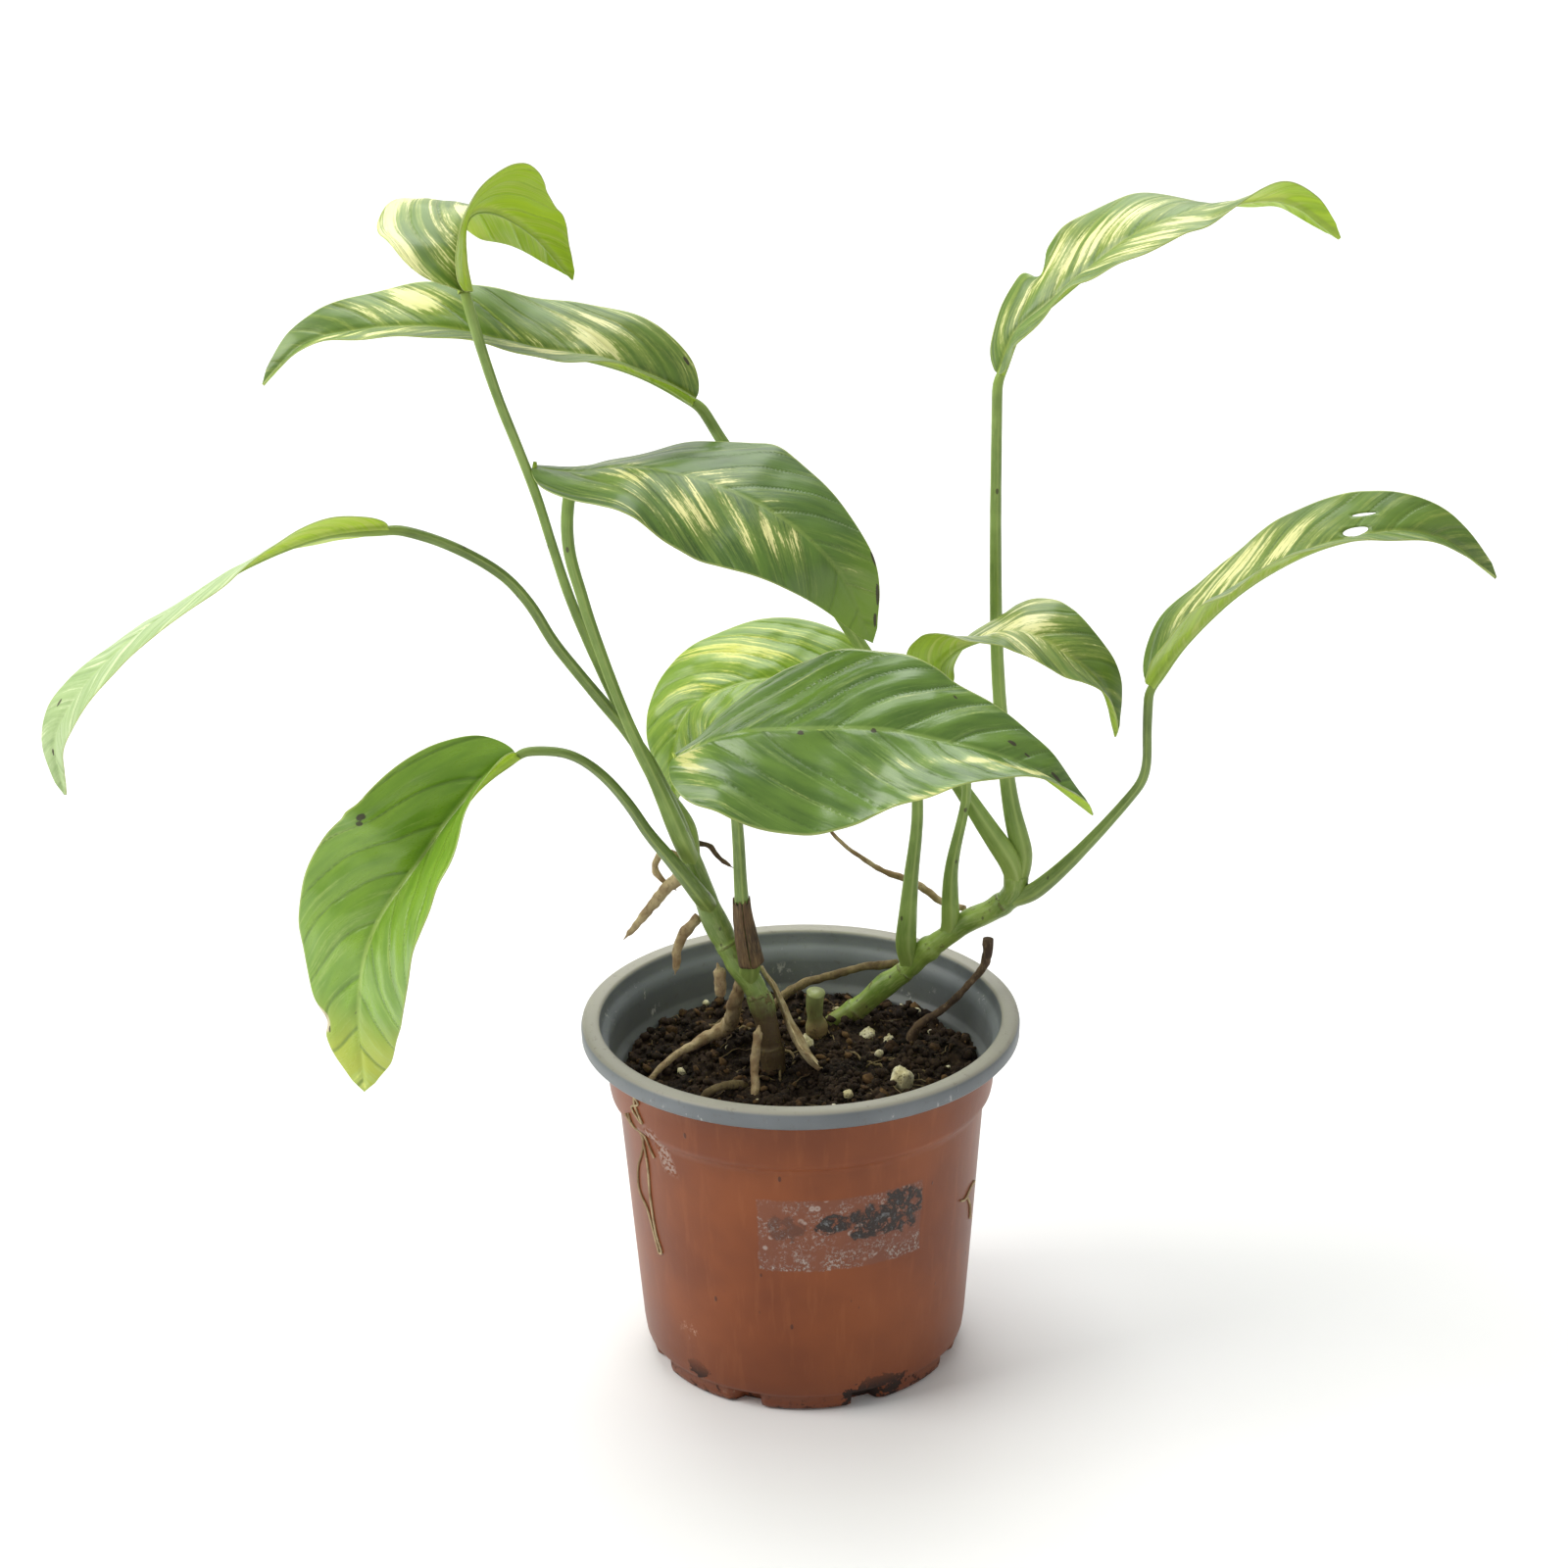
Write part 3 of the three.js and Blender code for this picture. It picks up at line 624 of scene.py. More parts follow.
def soil_mesh(rings=130, turns=300):
    points = [(0, 0, soil_height(0, 0))]
    for i in range(1, rings + 1):
        r = SOIL_R * i / rings
        for a in np.linspace(0, 2 * math.pi, turns, endpoint=False):
            points.append((r * math.cos(a), r * math.sin(a), soil_height(r * math.cos(a), r * math.sin(a))))
    for r, z in ((SOIL_R - 1.2, 78), (SOIL_R - 7.8, 14), (SOIL_R - 10, SOIL_BASE)):
        points += [(r * math.cos(a), r * math.sin(a), z)
                   for a in np.linspace(0, 2 * math.pi, turns, endpoint=False)]
    points.append((0, 0, SOIL_BASE))
    loops = rings + 3
    faces = [(0, 1 + j, 1 + (j + 1) % turns) for j in range(turns)]
    faces += [(1 + i * turns + j, 1 + (i + 1) * turns + j, 1 + (i + 1) * turns + (j + 1) % turns,
               1 + i * turns + (j + 1) % turns) for i in range(loops - 1) for j in range(turns)]
    end = 1 + (loops - 1) * turns
    faces += [(len(points) - 1, end + (j + 1) % turns, end + j) for j in range(turns)]
    return points, faces


def soil_finish(name, dark, light, grit):
    material, tree = finish(name, Roughness=0.95, Specular_IOR_Level=0.25)
    where = place_mm(tree)
    grains = cloud(where, 1.1, 6, 0.75)
    colour = cloud(where, 7, 4).step(0.35, 0.65).mix(dark, light)
    colour = (grains.step(0.5, 0.72) * 0.55).mix(colour, grit)
    connect(tree, colour, None, grains + cells(where, 1.4) * 0.5, 0.7)
    return material


PEAT = soil_finish("moist_peat", rgb(28, 21, 15), rgb(58, 44, 32), rgb(104, 82, 58))
BARK = soil_finish("bark_crumb", rgb(60, 43, 28), rgb(108, 82, 52), rgb(150, 122, 84))
points, faces = soil_mesh()
soil = piece("soil_bed", points, faces, None, [PEAT], ["soil"])
print("soil faces", len(soil.data.polygons))

# %% [markdown]
# Loose grains are all one idea: a ball that noise has dented. We make one mesh of many of them,
# because a thousand separate objects would only slow the scene down.

# %% Crumbs, chips and grains
def ball(subdivisions=1):
    """(points, faces) of a round mesh of triangles, radius 1."""
    seed = bpy.data.meshes.new("seed")
    body = bmesh.new()
    bmesh.ops.create_icosphere(body, subdivisions=subdivisions, radius=1)
    body.to_mesh(seed)
    body.free()
    made = np.array([v.co for v in seed.vertices]), [tuple(p.vertices) for p in seed.polygons]
    bpy.data.meshes.remove(seed)
    return made


def heap(spots, subdivisions=2, dent=0.35):
    """(points, faces) of dented lumps. Each spot is (centre, radii, seed)."""
    sphere, triangles = ball(subdivisions)
    points, faces = [], []
    for centre, radii, seed in spots:
        turn = Matrix.Rotation(seed * 2.4, 3, Vector((math.sin(seed), math.cos(seed * 3), 0.6)).normalized())
        swell = 1 + dent * bumps(sphere, 0.8, seed) + 0.5 * dent * bumps(sphere, 0.35, seed + 3)
        lump = (sphere * swell[:, None] * np.array(radii)) @ np.array(turn)
        faces += [tuple(v + len(points) * len(sphere) for v in t) for t in triangles]
        points.append(lump + np.array(centre))
    return np.concatenate(points), faces


def scatter(count, small, large, sink, reach=49.0, flat=0.75):
    """Spots for loose grains over the soil, between two radii in mm."""
    spots = []
    for k in range(count):
        r, a = reach * math.sqrt(rng.random()), rng.random() * 2 * math.pi
        size = small + (large - small) * rng.random() ** 2.5
        x, y = r * math.cos(a), r * math.sin(a)
        radii = size * np.array([1, 0.65 + 0.35 * rng.random(), flat])
        spots.append(((x, y, soil_height(x, y) + size * (0.5 - sink)), radii, k * 0.37))
    return spots


def mound(count, centre, spread, rise):
    """Spots for crumbs heaped over a place on the soil."""
    spots = []
    for k in range(count):
        u, v = np.clip(rng.normal(size=2) * 0.5, -1.2, 1.2)
        x, y = centre[0] + u * spread[0], centre[1] + v * spread[1]
        top = soil_height(x, y) + rise * max(0.0, 1 - u * u - v * v) * rng.random() ** 0.5
        size = 0.6 + 1.1 * rng.random() ** 2
        spots.append(((x, y, top), size * np.array([1, 0.8, 0.7]), k * 0.71))
    return spots


points, faces = heap(scatter(1500, 0.45, 1.9, -0.1), 1, 0.5)
crumbs = piece("soil_crumbs", points, faces, None, [PEAT])
points, faces = heap(scatter(420, 0.5, 2.2, 0.0, flat=0.45), 1, 0.5)
chips = piece("bark_chips", points, faces, None, [BARK])
mounds = mound(420, (10.5, -14), (6.5, 13), 5.0) + mound(160, (-6, -26), (9, 6), 2.5)
mounds += mound(120, (30, -2), (9, 8), 2.0)
points, faces = heap(mounds, 1, 0.55)
clods = piece("peat_clods", points, faces, None, [PEAT])
print("crumbs", len(crumbs.data.polygons), "chips", len(chips.data.polygons),
      "clods", len(clods.data.polygons))

# %% [markdown]
# ## Pumice
#
# Pumice is a pale volcanic glass full of bubbles, mixed in so that water drains. The four largest
# grains have solids, so each is the same dented ball, fitted to its solid's box. The pits are
# cells in the finish, because they are far too small to be worth a mesh.

# %% Pumice
def pumice_finish():
    material, tree = finish("pumice", Roughness=0.9)
    where = place_mm(tree)
    pits = cells(where, 0.7)
    colour = cloud(where, 3).step(0.35, 0.65).mix(rgb(188, 176, 132), rgb(222, 214, 182))
    colour = (pits.step(0.35, 0.1) * 0.6).mix(colour, rgb(120, 100, 66))
    connect(tree, colour, None, pits.step(0.0, 0.4), 0.35)
    return material


PUMICE = pumice_finish()
for k in range(1, 5):
    node = f"pumice_{k}"
    low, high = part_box(node)
    spot = (np.array((low + high) / 2) / MM, np.array((high - low) / 2) / MM * 0.97, k * 1.9)
    points, faces = heap([spot], 4, 0.3)
    piece(f"pumice_grain_{k}", points, faces, None, [PUMICE], [node])
points, faces = heap(scatter(46, 0.45, 1.5, 0.0, flat=0.85), 2)
piece("pumice_grit", points, faces, None, [PUMICE])

# %% [markdown]
# ## Roots and fibres
#
# Aerial roots start plump and pale brown and dry to dark, wrinkled string. Each is a tube along
# the centre line that we read from its solid, with noise for the wrinkles. The bits of fibre on
# the soil are the same tube, only thin and short. A root's free end is rounded off, while the end
# at the stem runs on into it, so that no gap shows.

# %% Roots
def root_finish(name, pale, dark, speck):
    material, tree = finish(name, Roughness=0.85, Specular_IOR_Level=0.3)
    where = place_mm(tree)
    wrinkle = cloud(where * (1, 1, 0.4), 0.9, 5, 0.7)
    colour = cloud(where, 6, 4).step(0.35, 0.65).mix(pale, dark)
    colour = (wrinkle.step(0.52, 0.68) * 0.6).mix(colour, speck)
    connect(tree, colour, None, wrinkle, 0.5)
    return material


TAN_ROOT = root_finish("tan_root", rgb(194, 174, 136), rgb(146, 120, 88), rgb(92, 70, 48))
DARK_ROOT = root_finish("dark_root", rgb(104, 84, 64), rgb(68, 54, 42), rgb(136, 116, 90))
OLIVE_ROOT = root_finish("olive_root", rgb(132, 116, 82), rgb(96, 80, 54), rgb(62, 48, 33))
ROOTS = {"root_to_back_soil": OLIVE_ROOT, "root_upright": DARK_ROOT, "root_dry_thread": TAN_ROOT,
         "aerial_root_upper": TAN_ROOT, "aerial_root_lower": TAN_ROOT, "aerial_root_stump": TAN_ROOT,
         "anchor_root": TAN_ROOT, "prop_root": TAN_ROOT, "surface_root": OLIVE_ROOT, "root_loop": TAN_ROOT,
         "dry_tendril": DARK_ROOT}
FREE_STANDING = {"prop_root", "aerial_root_stump"}
STEM_CORES = {name: core_of(name, np.zeros(3), 90) for name in ("stem_left", "stem_right")}


def nearest_stem_point(node):
    middle = centre_of(node)
    line = np.concatenate([core[0] for core in STEM_CORES.values()])
    return line[np.linalg.norm(line - middle, axis=1).argmin()]


def rounded_tip(line, radii, both):
    """A tube's shape with a round far end, or with two for a root that stands free of the stem."""
    cap = radii.mean() / np.linalg.norm(np.diff(line, axis=0), axis=1).sum()

    def shape(share, angle):
        from_end = np.minimum(share, 1 - share) if both else 1 - share
        return np.sqrt(np.clip(from_end / cap, 0.02, 1))
    return shape


for k, (node, material) in enumerate(ROOTS.items()):
    line, radii = core_of(node, nearest_stem_point(node), 70, 1.2)
    line = line + np.stack([bumps(line, 7, k + i * 3) for i in range(3)], axis=1) * 0.5
    tip = rounded_tip(line, radii, node in FREE_STANDING)
    points, faces, shares, _ = tube_mesh(line, radii, 16, tip, roughness=0.28, grain=2.0, seed=k)
    piece(node + "_skin", points, faces, {"along": shares}, [material], [node])


def thread_mesh(paths, radius, sides=6):
    """(points, faces) of many thin tubes along rows of points."""
    points, faces, base = [], [], 0
    for path in paths:
        p, f, _, _ = tube_mesh(np.array(path), np.full(len(path), radius), sides)
        points.append(p)
        faces += [tuple(v + base for v in face) for face in f]
        base += len(p)
    return np.concatenate(points), faces


def fibre_path(length, steps=9):
    r, a = 46 * math.sqrt(rng.random()), rng.random() * 2 * math.pi
    x, y, heading = r * math.cos(a), r * math.sin(a), rng.random() * 2 * math.pi
    path, lift = [], 0.3 + rng.random()
    for k in range(steps):
        path.append((x, y, soil_height(x, y) + lift * math.sin(math.pi * k / (steps - 1)) + 0.1))
        heading += rng.normal() * 0.22
        x, y = x + math.cos(heading) * length / steps, y + math.sin(heading) * length / steps
        if math.hypot(x, y) > 49.5:
            x, y = x * 49.5 / math.hypot(x, y), y * 49.5 / math.hypot(x, y)
    return path


points, faces = thread_mesh([fibre_path(8 + 14 * rng.random()) for _ in range(46)], 0.16)
piece("soil_fibres", points, faces, None, [OLIVE_ROOT])
points, faces = thread_mesh([fibre_path(14 + 12 * rng.random(), 14) for _ in range(7)], 0.38, 8)
piece("surface_rootlets", points, faces, None, [OLIVE_ROOT])


# %% [markdown]
# Some roots have grown over the rim and dried onto the outside of the pot as flat brown threads.
# They lie on a round wall, so each is a path of turns round the pot and heights on it, which we
# bend onto the wall's own profile. A path typed in as x, y and z would leave the wall.

# %% A root that dried onto the wall
def wall_radius(z):
    wall = OUTSIDE[8:]
    return np.interp(z, [p[1] for p in wall], [p[0] for p in wall])


def wall_path(stops, steps=40):
    """A path on the outside of the pot through stops of (degrees round from the front, height)."""
    turn, z = resample(np.array(stops, float), np.linspace(0, 1, steps)).T
    r = wall_radius(z) + 0.25
    return np.stack([r * np.sin(np.radians(turn)), -r * np.cos(np.radians(turn)), z], axis=1)


strands = [wall_path([(-62, 95), (-57, 90.5), (-55, 88.5), (-59, 86), (-54, 83), (-57, 88), (-56, 92)]),
           wall_path([(-64, 82), (-60, 79), (-58.5, 75), (-61, 70), (-65, 64), (-66, 57), (-61, 53),
                      (-58, 46), (-56, 41)]),
           wall_path([(-62, 83), (-59, 76), (-57.5, 68), (-58, 58), (-57, 48), (-54.5, 42), (-56, 41)]),
           wall_path([(-61, 81), (-57, 77), (-55, 74.5), (-53, 72)]),
           wall_path([(62, 53.5), (66, 52.5), (71, 54), (76, 53.8)]),
           wall_path([(67, 53), (72, 48), (74, 43)])]
points, faces = thread_mesh(strands, 0.32, 8)
piece("dried_wall_root", points, faces, None, [TAN_ROOT])
print("roots", len(ROOTS), "strands on the wall", len(strands))

# %% [markdown]
# ## Stems
#
# A climbing stem is jointed: it swells a little at each node, where the scar of an old leaf runs
# round it, and its skin is smooth and green between. Near the soil it turns olive and corky. The
# swellings come with the solid. A pinch in the radius and a faint, broken line make the scars.

# %% Stems
def stem_finish(name, fresh, shade, corky, from_z, to_z):
    material, tree = finish(name, Specular_IOR_Level=0.45)
    where = place_mm(tree)
    z = where.axis("Z")
    fibre = cloud(attribute(tree, "skin", "Vector") * (1.0, 0.16, 1.0), 0.5, 4, 0.6)
    flaky = cloud(where, 1.5, 5, 0.7)
    green = cloud(where, 12, 3).step(0.35, 0.65).mix(fresh, shade)
    green = (fibre.step(0.45, 0.7) * 0.3).mix(green, rgb(186, 196, 128))
    cork = (z + cloud(where, 7, 4) * 20.0 - 10.0).step(to_z, from_z)
    colour = (cork * flaky.step(0.15, 0.4) * 0.95).mix(green, corky)
    patches = cloud(where, 5.5, 4, 0.7).step(0.6, 0.66) * z.step(135, 112)
    colour = (patches * 0.75).mix(colour, rgb(104, 84, 52))
    scar = attribute(tree, "ring").step(0.4, 0.9) * cloud(where, 2.5, 3).step(0.4, 0.56)
    colour = (scar * 0.6).mix(colour, rgb(96, 84, 50))
    specks = cells(where * (1, 1, 0.6), 3.4).step(0.12, 0.08) * 0.7
    colour = specks.mix(colour, rgb(66, 56, 34))
    relief = fibre * 0.3 + flaky * cork + flaky * patches + scar * 0.6
    connect(tree, colour, cork * 0.3 + 0.34 + patches * 0.25, relief, 0.3)
    return material


LEFT_STEM = stem_finish("left_stem_skin", rgb(132, 156, 76), rgb(108, 132, 60), rgb(80, 58, 38), 99, 114)
RIGHT_STEM = stem_finish("right_stem_skin", rgb(140, 164, 74), rgb(104, 130, 52), rgb(118, 112, 62), 82, 96)
STUB_SKIN = stem_finish("stub_skin", rgb(150, 158, 100), rgb(120, 126, 76), rgb(140, 118, 78), 84, 96)


def ring_marks(shares, places):
    return sum(np.exp(-(((shares - at) / 0.007) ** 2)) for at in places)


def skin_map(shares, angles, length):
    """Round the tube and along it in mm: for fibres that run along it."""
    return np.stack([np.cos(angles) * 3, shares * length, np.sin(angles) * 3], axis=1)


def stem_piece(node, material, places, domed=0.0, stations=170, sides=36):
    line, radii = core_of(node, np.zeros(3), stations)
    length = np.linalg.norm(np.diff(line, axis=0), axis=1).sum()

    def shape(share, angle):
        pinch = sum(0.06 * np.exp(-(((share - at - 0.012) / 0.006) ** 2)) for at in places)
        swell = sum(0.05 * np.exp(-(((share - at + 0.01) / 0.015) ** 2)) for at in places)
        dome = np.sqrt(np.clip((1.0001 - share) / domed, 0, 1)) if domed else 1
        return (1 - pinch + swell + 0.02 * np.sin(angle * 3 + share * 9)) * dome

    points, faces, shares, angles = tube_mesh(line, radii, sides, shape, roughness=0.06, grain=5)
    marks = {"ring": ring_marks(shares, places), "skin": skin_map(shares, angles, length)}
    return piece(node + "_skin", points, faces, marks, [material], [node])


stem_piece("stem_left", LEFT_STEM, (0.33, 0.5, 0.68), 0.03)
stem_piece("stem_right", RIGHT_STEM, (0.3, 0.5, 0.62, 0.88), 0.02)
stem_piece("pruned_stub", STUB_SKIN, (0.5,), 0.0, 70, 28)

# %% [markdown]
# ## The surface of a blade
#
# A blade starts as the upper side of its solid: nine points across each ring. We split it at the
# midrib, so that the fold stays crisp, and draw smooth curves both ways. The stalks need this
# surface as well, because each one runs on under its blade as the midrib, so it comes first.

# %% Blades: the surface
LEAVES = ("far_left", "top_left", "top_arch", "centre", "mid_back", "front", "top_right", "right",
          "small_right", "lower_left")
UPPER, LOWER = 8, 6  # segments across the upper and lower side of a blade's rings
ALONG, ACROSS = 170, 64  # rows of points along a fine blade, and quads across it
TIP = 0.97  # share of a blade's length after which its margins close to a point


def upper_first(points, loop):
    """A blade's middle ring, turned so that it starts at one margin and runs over the upper side."""
    size = len(loop)
    ring = points[loop]
    before, after = unit(np.roll(ring, 1, axis=0) - ring), unit(np.roll(ring, -1, axis=0) - ring)
    sharp = (before * after).sum(axis=1)
    a, b = sorted(np.argsort(sharp)[-2:])
    start = a if b - a == UPPER else b
    return [loop[(start + k) % size] for k in range(size)]


def blade_grid(node, towards, along=ALONG, across=ACROSS):
    """(points, half widths, shares along, thickness direction) of a blade's upper side, as a grid in mm."""
    rings = rings_of(node, towards, upper_first)
    upper, lower = rings[:, :UPPER + 1], rings[:, UPPER + 1:]
    spine = upper[:, UPPER // 2]
    rise = unit(spine - lower[:, LOWER // 2 - 1])
    heading = np.gradient(spine, axis=0)
    if ((upper[:, -1] - upper[:, 0]) * np.cross(heading, rise)).sum() < 0:
        upper = upper[:, ::-1]
    spread = upper - spine[:, None]
    half = (np.linalg.norm(spread[:, 0], axis=1) + np.linalg.norm(spread[:, -1], axis=1)) / 2
    form = spread / half[:, None, None]
    even = np.linspace(0, 1, along)
    shares = 0.45 * even + 0.55 * (0.5 - 0.5 * np.cos(math.pi * even))
    fine_half = np.maximum(resample(half ** 1.6, shares), 0.02) ** (1 / 1.6)
    closing = np.clip((1.001 - shares) / 0.03, 0.05, 1) ** 0.5
    fine_half = np.where(shares > TIP, fine_half * closing, fine_half)
    fine_form = resample(form, shares)
    steps = np.linspace(0, 1, across // 2 + 1)
    left = resample(fine_form[:, UPPER // 2::-1].transpose(1, 0, 2), steps)
    right = resample(fine_form[:, UPPER // 2:].transpose(1, 0, 2), steps)
    whole = np.concatenate([left[::-1], right[1:]]).transpose(1, 0, 2)
    points = resample(spine, shares)[:, None] + whole * fine_half[:, None, None]
    return points, fine_half, shares, resample(rise, shares)


def grid_normals(grid, rise):
    down = np.gradient(grid, axis=0)
    over = np.gradient(grid, axis=1)
    normal = unit(np.cross(down, over))
    sign = np.sign((normal * rise[:, None]).sum(axis=(1, 2)).sum())
    return normal * (sign or 1.0)


def length_of(line):
    return np.linalg.norm(np.diff(line, axis=0), axis=1).sum()


def stalk_end(name):
    """Where a leaf's stalk reaches its blade."""
    node = "petiole_" + name
    return rings_of(node, nearest_stem_point(node))[-1].mean(axis=0)


BLADES = {name: blade_grid("leaf_" + name, stalk_end(name)) for name in LEAVES}
print("blade lengths in mm", {name: round(float(length_of(grid[:, ACROSS // 2])))
                              for name, (grid, *_) in BLADES.items()})

# %% [markdown]
# ## Leaf stalks
#
# The stalk of this plant clasps the stem with a wide foot, narrows, and has a shallow channel
# along its upper side with a pale edge on each side. It doesn't stop at the blade: it runs on
# under it as the midrib and thins out towards the tip. So one tube does all three. Its line starts
# inside the stem, follows the solid, and ends along the underside of the blade.

# %% Leaf stalks
CREASE = 0.55  # mm that the groove over the midrib sinks into the blade
FOOT_DEPTH = 5.0  # mm that a stalk starts below the place where it leaves the stem
FLARE, FLARE_REACH = 1.28, 16.0  # a foot's extra width, and the mm over which it fades
STALK_STATIONS = 120  # points read along a stalk's solid
STALK_SPACING = 1.1  # mm between the rings of the finished tube
SMOOTHING = 9  # passes that soften the bend where a stalk meets its blade


def flared(line, radii):
    reach = np.linalg.norm(line - line[0], axis=1)
    return radii * (1 + (FLARE - 1) * np.exp(-((reach / FLARE_REACH) ** 2)))


def stalk_finish(name, fresh, shade):
    material, tree = finish(name, Specular_IOR_Level=0.45)
    where = place_mm(tree)
    along, wing, rib = attribute(tree, "along"), attribute(tree, "wing"), attribute(tree, "rib")
    fibre = cloud(attribute(tree, "skin", "Vector") * (1.0, 0.1, 1.0), 0.45, 4, 0.6)
    colour = cloud(where, 16, 3).step(0.35, 0.65).mix(fresh, shade)
    colour = (fibre.step(0.4, 0.7) * 0.25).mix(colour, rgb(168, 186, 108))
    colour = (wing * 0.45).mix(colour, rgb(184, 202, 118))
    colour = (along.step(0.16, 0.0) * 0.5).mix(colour, rgb(146, 164, 84))
    colour = (rib * 0.7).mix(colour, rgb(150, 176, 72))
    specks = cells(where * (1, 1, 0.55), 5.0).step(0.11, 0.07)
    colour = (specks * 0.8).mix(colour, rgb(58, 48, 32))
    connect(tree, colour, fibre * 0.15 + 0.32, fibre, 0.12)
    return material


STALK = stalk_finish("stalk_skin", rgb(134, 160, 78), rgb(108, 134, 58))
DARK_STALK = stalk_finish("dark_stalk_skin", rgb(112, 136, 64), rgb(86, 108, 44))


def stalk_foot(start, heading, radius, steps=16):
    """(points, radii) that join a stalk's start to the inside of the nearest stem."""
    stem, stem_radii = min(STEM_CORES.values(),
                           key=lambda core: np.linalg.norm(core[0] - start, axis=1).min())
    near = np.linalg.norm(stem - start, axis=1).argmin()
    apart = np.linalg.norm(stem - stem[near], axis=1)
    k = max(i for i in range(near + 1) if i == 0 or apart[i] > FOOT_DEPTH)
    foot, reach = stem[k], np.linalg.norm(stem[k] - start)
    growing = unit(stem[k + 1] - stem[k])
    u = np.linspace(0, 1, steps, endpoint=False)[:, None]
    curve = foot * (2 * u ** 3 - 3 * u ** 2 + 1) + growing * reach * (u ** 3 - 2 * u ** 2 + u)
    curve = curve + start * (3 * u ** 2 - 2 * u ** 3) + heading * reach * (u ** 3 - u ** 2)
    inside = min(stem_radii[k] * 0.82, radius * FLARE)
    return curve, inside + (radius * FLARE - inside) * u[:, 0] ** 0.7


def midrib(name, start, radius):
    """(points, radii) of the rib under a blade, from the stalk's end nearly to the blade's tip."""
    grid, _, shares, rise = BLADES[name]
    spine = grid[:, ACROSS // 2]
    first = np.linalg.norm(spine[:ALONG // 4] - start, axis=1).argmin() + 4
    pick = np.arange(first, int(ALONG * 0.93), 2)
    t = (shares[pick] - shares[first]) / (1 - shares[first])
    size = radius * 0.72 * (1 - t) ** 0.8 * (1 - 0.25 * np.clip(t * 8, 0, 1)) + 0.12
    sink = size + CREASE * (1 - 0.6 * t)
    return spine[pick] - unit(rise[pick]) * sink[:, None], size


def stalk_piece(name, material):
    node = "petiole_" + name
    line, radii = core_of(node, nearest_stem_point(node), STALK_STATIONS)
    radii = flared(line, radii)
    foot, foot_radii = stalk_foot(line[0], unit(line[1] - line[0]), radii[0] / FLARE)
    rib, rib_radii = midrib(name, line[-1], radii[-1])
    line, radii = np.concatenate([foot, line, rib]), np.concatenate([foot_radii, radii, rib_radii])
    steps = np.concatenate([[0], np.cumsum(np.linalg.norm(np.diff(line, axis=0), axis=1))])
    top = steps[len(foot) + STALK_STATIONS - 1]
    place = np.arange(0, steps[-1], STALK_SPACING)
    line = np.stack([np.interp(place, steps, line[:, c]) for c in range(3)], axis=1)
    radii = np.interp(place, steps, radii)
    for _ in range(SMOOTHING):
        line[1:-1] = line[1:-1] * 0.5 + (line[:-2] + line[2:]) * 0.25
        radii[1:-1] = radii[1:-1] * 0.5 + (radii[:-2] + radii[2:]) * 0.25

    def groove(share, angle):
        turn = np.abs((angle + math.pi) % (2 * math.pi) - math.pi)
        fade = np.clip((top - share * place[-1]) / 25, 0, 1)
        return 1 - fade * (0.13 * np.exp(-((turn / 0.4) ** 2)) - 0.07 * np.exp(-(((turn - 0.7) / 0.2) ** 2)))

    points, faces, shares, angles = tube_mesh(line, radii, 26, groove, (-0.35, -0.75, 0.5), 0.03, 6)
    far = shares * place[-1]
    turn = np.abs((angles + math.pi) % (2 * math.pi) - math.pi)
    wing = np.exp(-(((turn - 0.7) / 0.14) ** 2)) * np.clip((top - far) / 25, 0, 1)
    marks = {"along": far / top, "wing": wing, "rib": np.clip((far - top + 6) / 12, 0, 1),
             "skin": skin_map(shares, angles, place[-1])}
    return piece(f"stalk_{name}", points, faces, marks, [material], [node])


for name in LEAVES:
    stalk_piece(name, DARK_STALK if name in ("far_left", "front", "right", "lower_left") else STALK)
print("stalks", len(LEAVES))

# %% [markdown]
# ## Blades
#
# On that smooth surface come the things that make it a leaf: a groove over the midrib, side veins
# that sweep towards the tip, a soft quilt between the veins, and a slightly rippled edge. They are
# moved in the mesh, not only painted, so they also show in the outline. Solidify then gives the
# blade its thickness and an underside with a finish of its own.

# %% Blades: veins and relief
VEIN_STEP = 13  # mm along the midrib between the main side veins
BLADE_THICKNESS = 1.5  # mm at the midrib, and less towards the margins


def vein_place(x, side, seed):
    """Where on the midrib the side vein through this spot starts, in mm, with a little wander."""
    wander = np.array([noise.noise(Vector((v * 0.05, seed, 0))) for v in x.reshape(-1)]).reshape(x.shape)
    return x - 1.0 * side - 0.03 * side ** 2 + 2.4 * wander


def spots_on(t, s, spots):
    """Each spot's strength, or 1, in its middle and softly 0 round it.

    A spot is (t, s, size along, size across), with its strength last if it has one.
    """
    total = np.zeros_like(t)
    for at, beside, long, wide, *strength in spots:
        spot = np.exp(-(((t - at) / long) ** 2) - (((s - beside) / wide) ** 2))
        total = np.maximum(total, spot * (strength[0] if strength else 1.0))
    return total


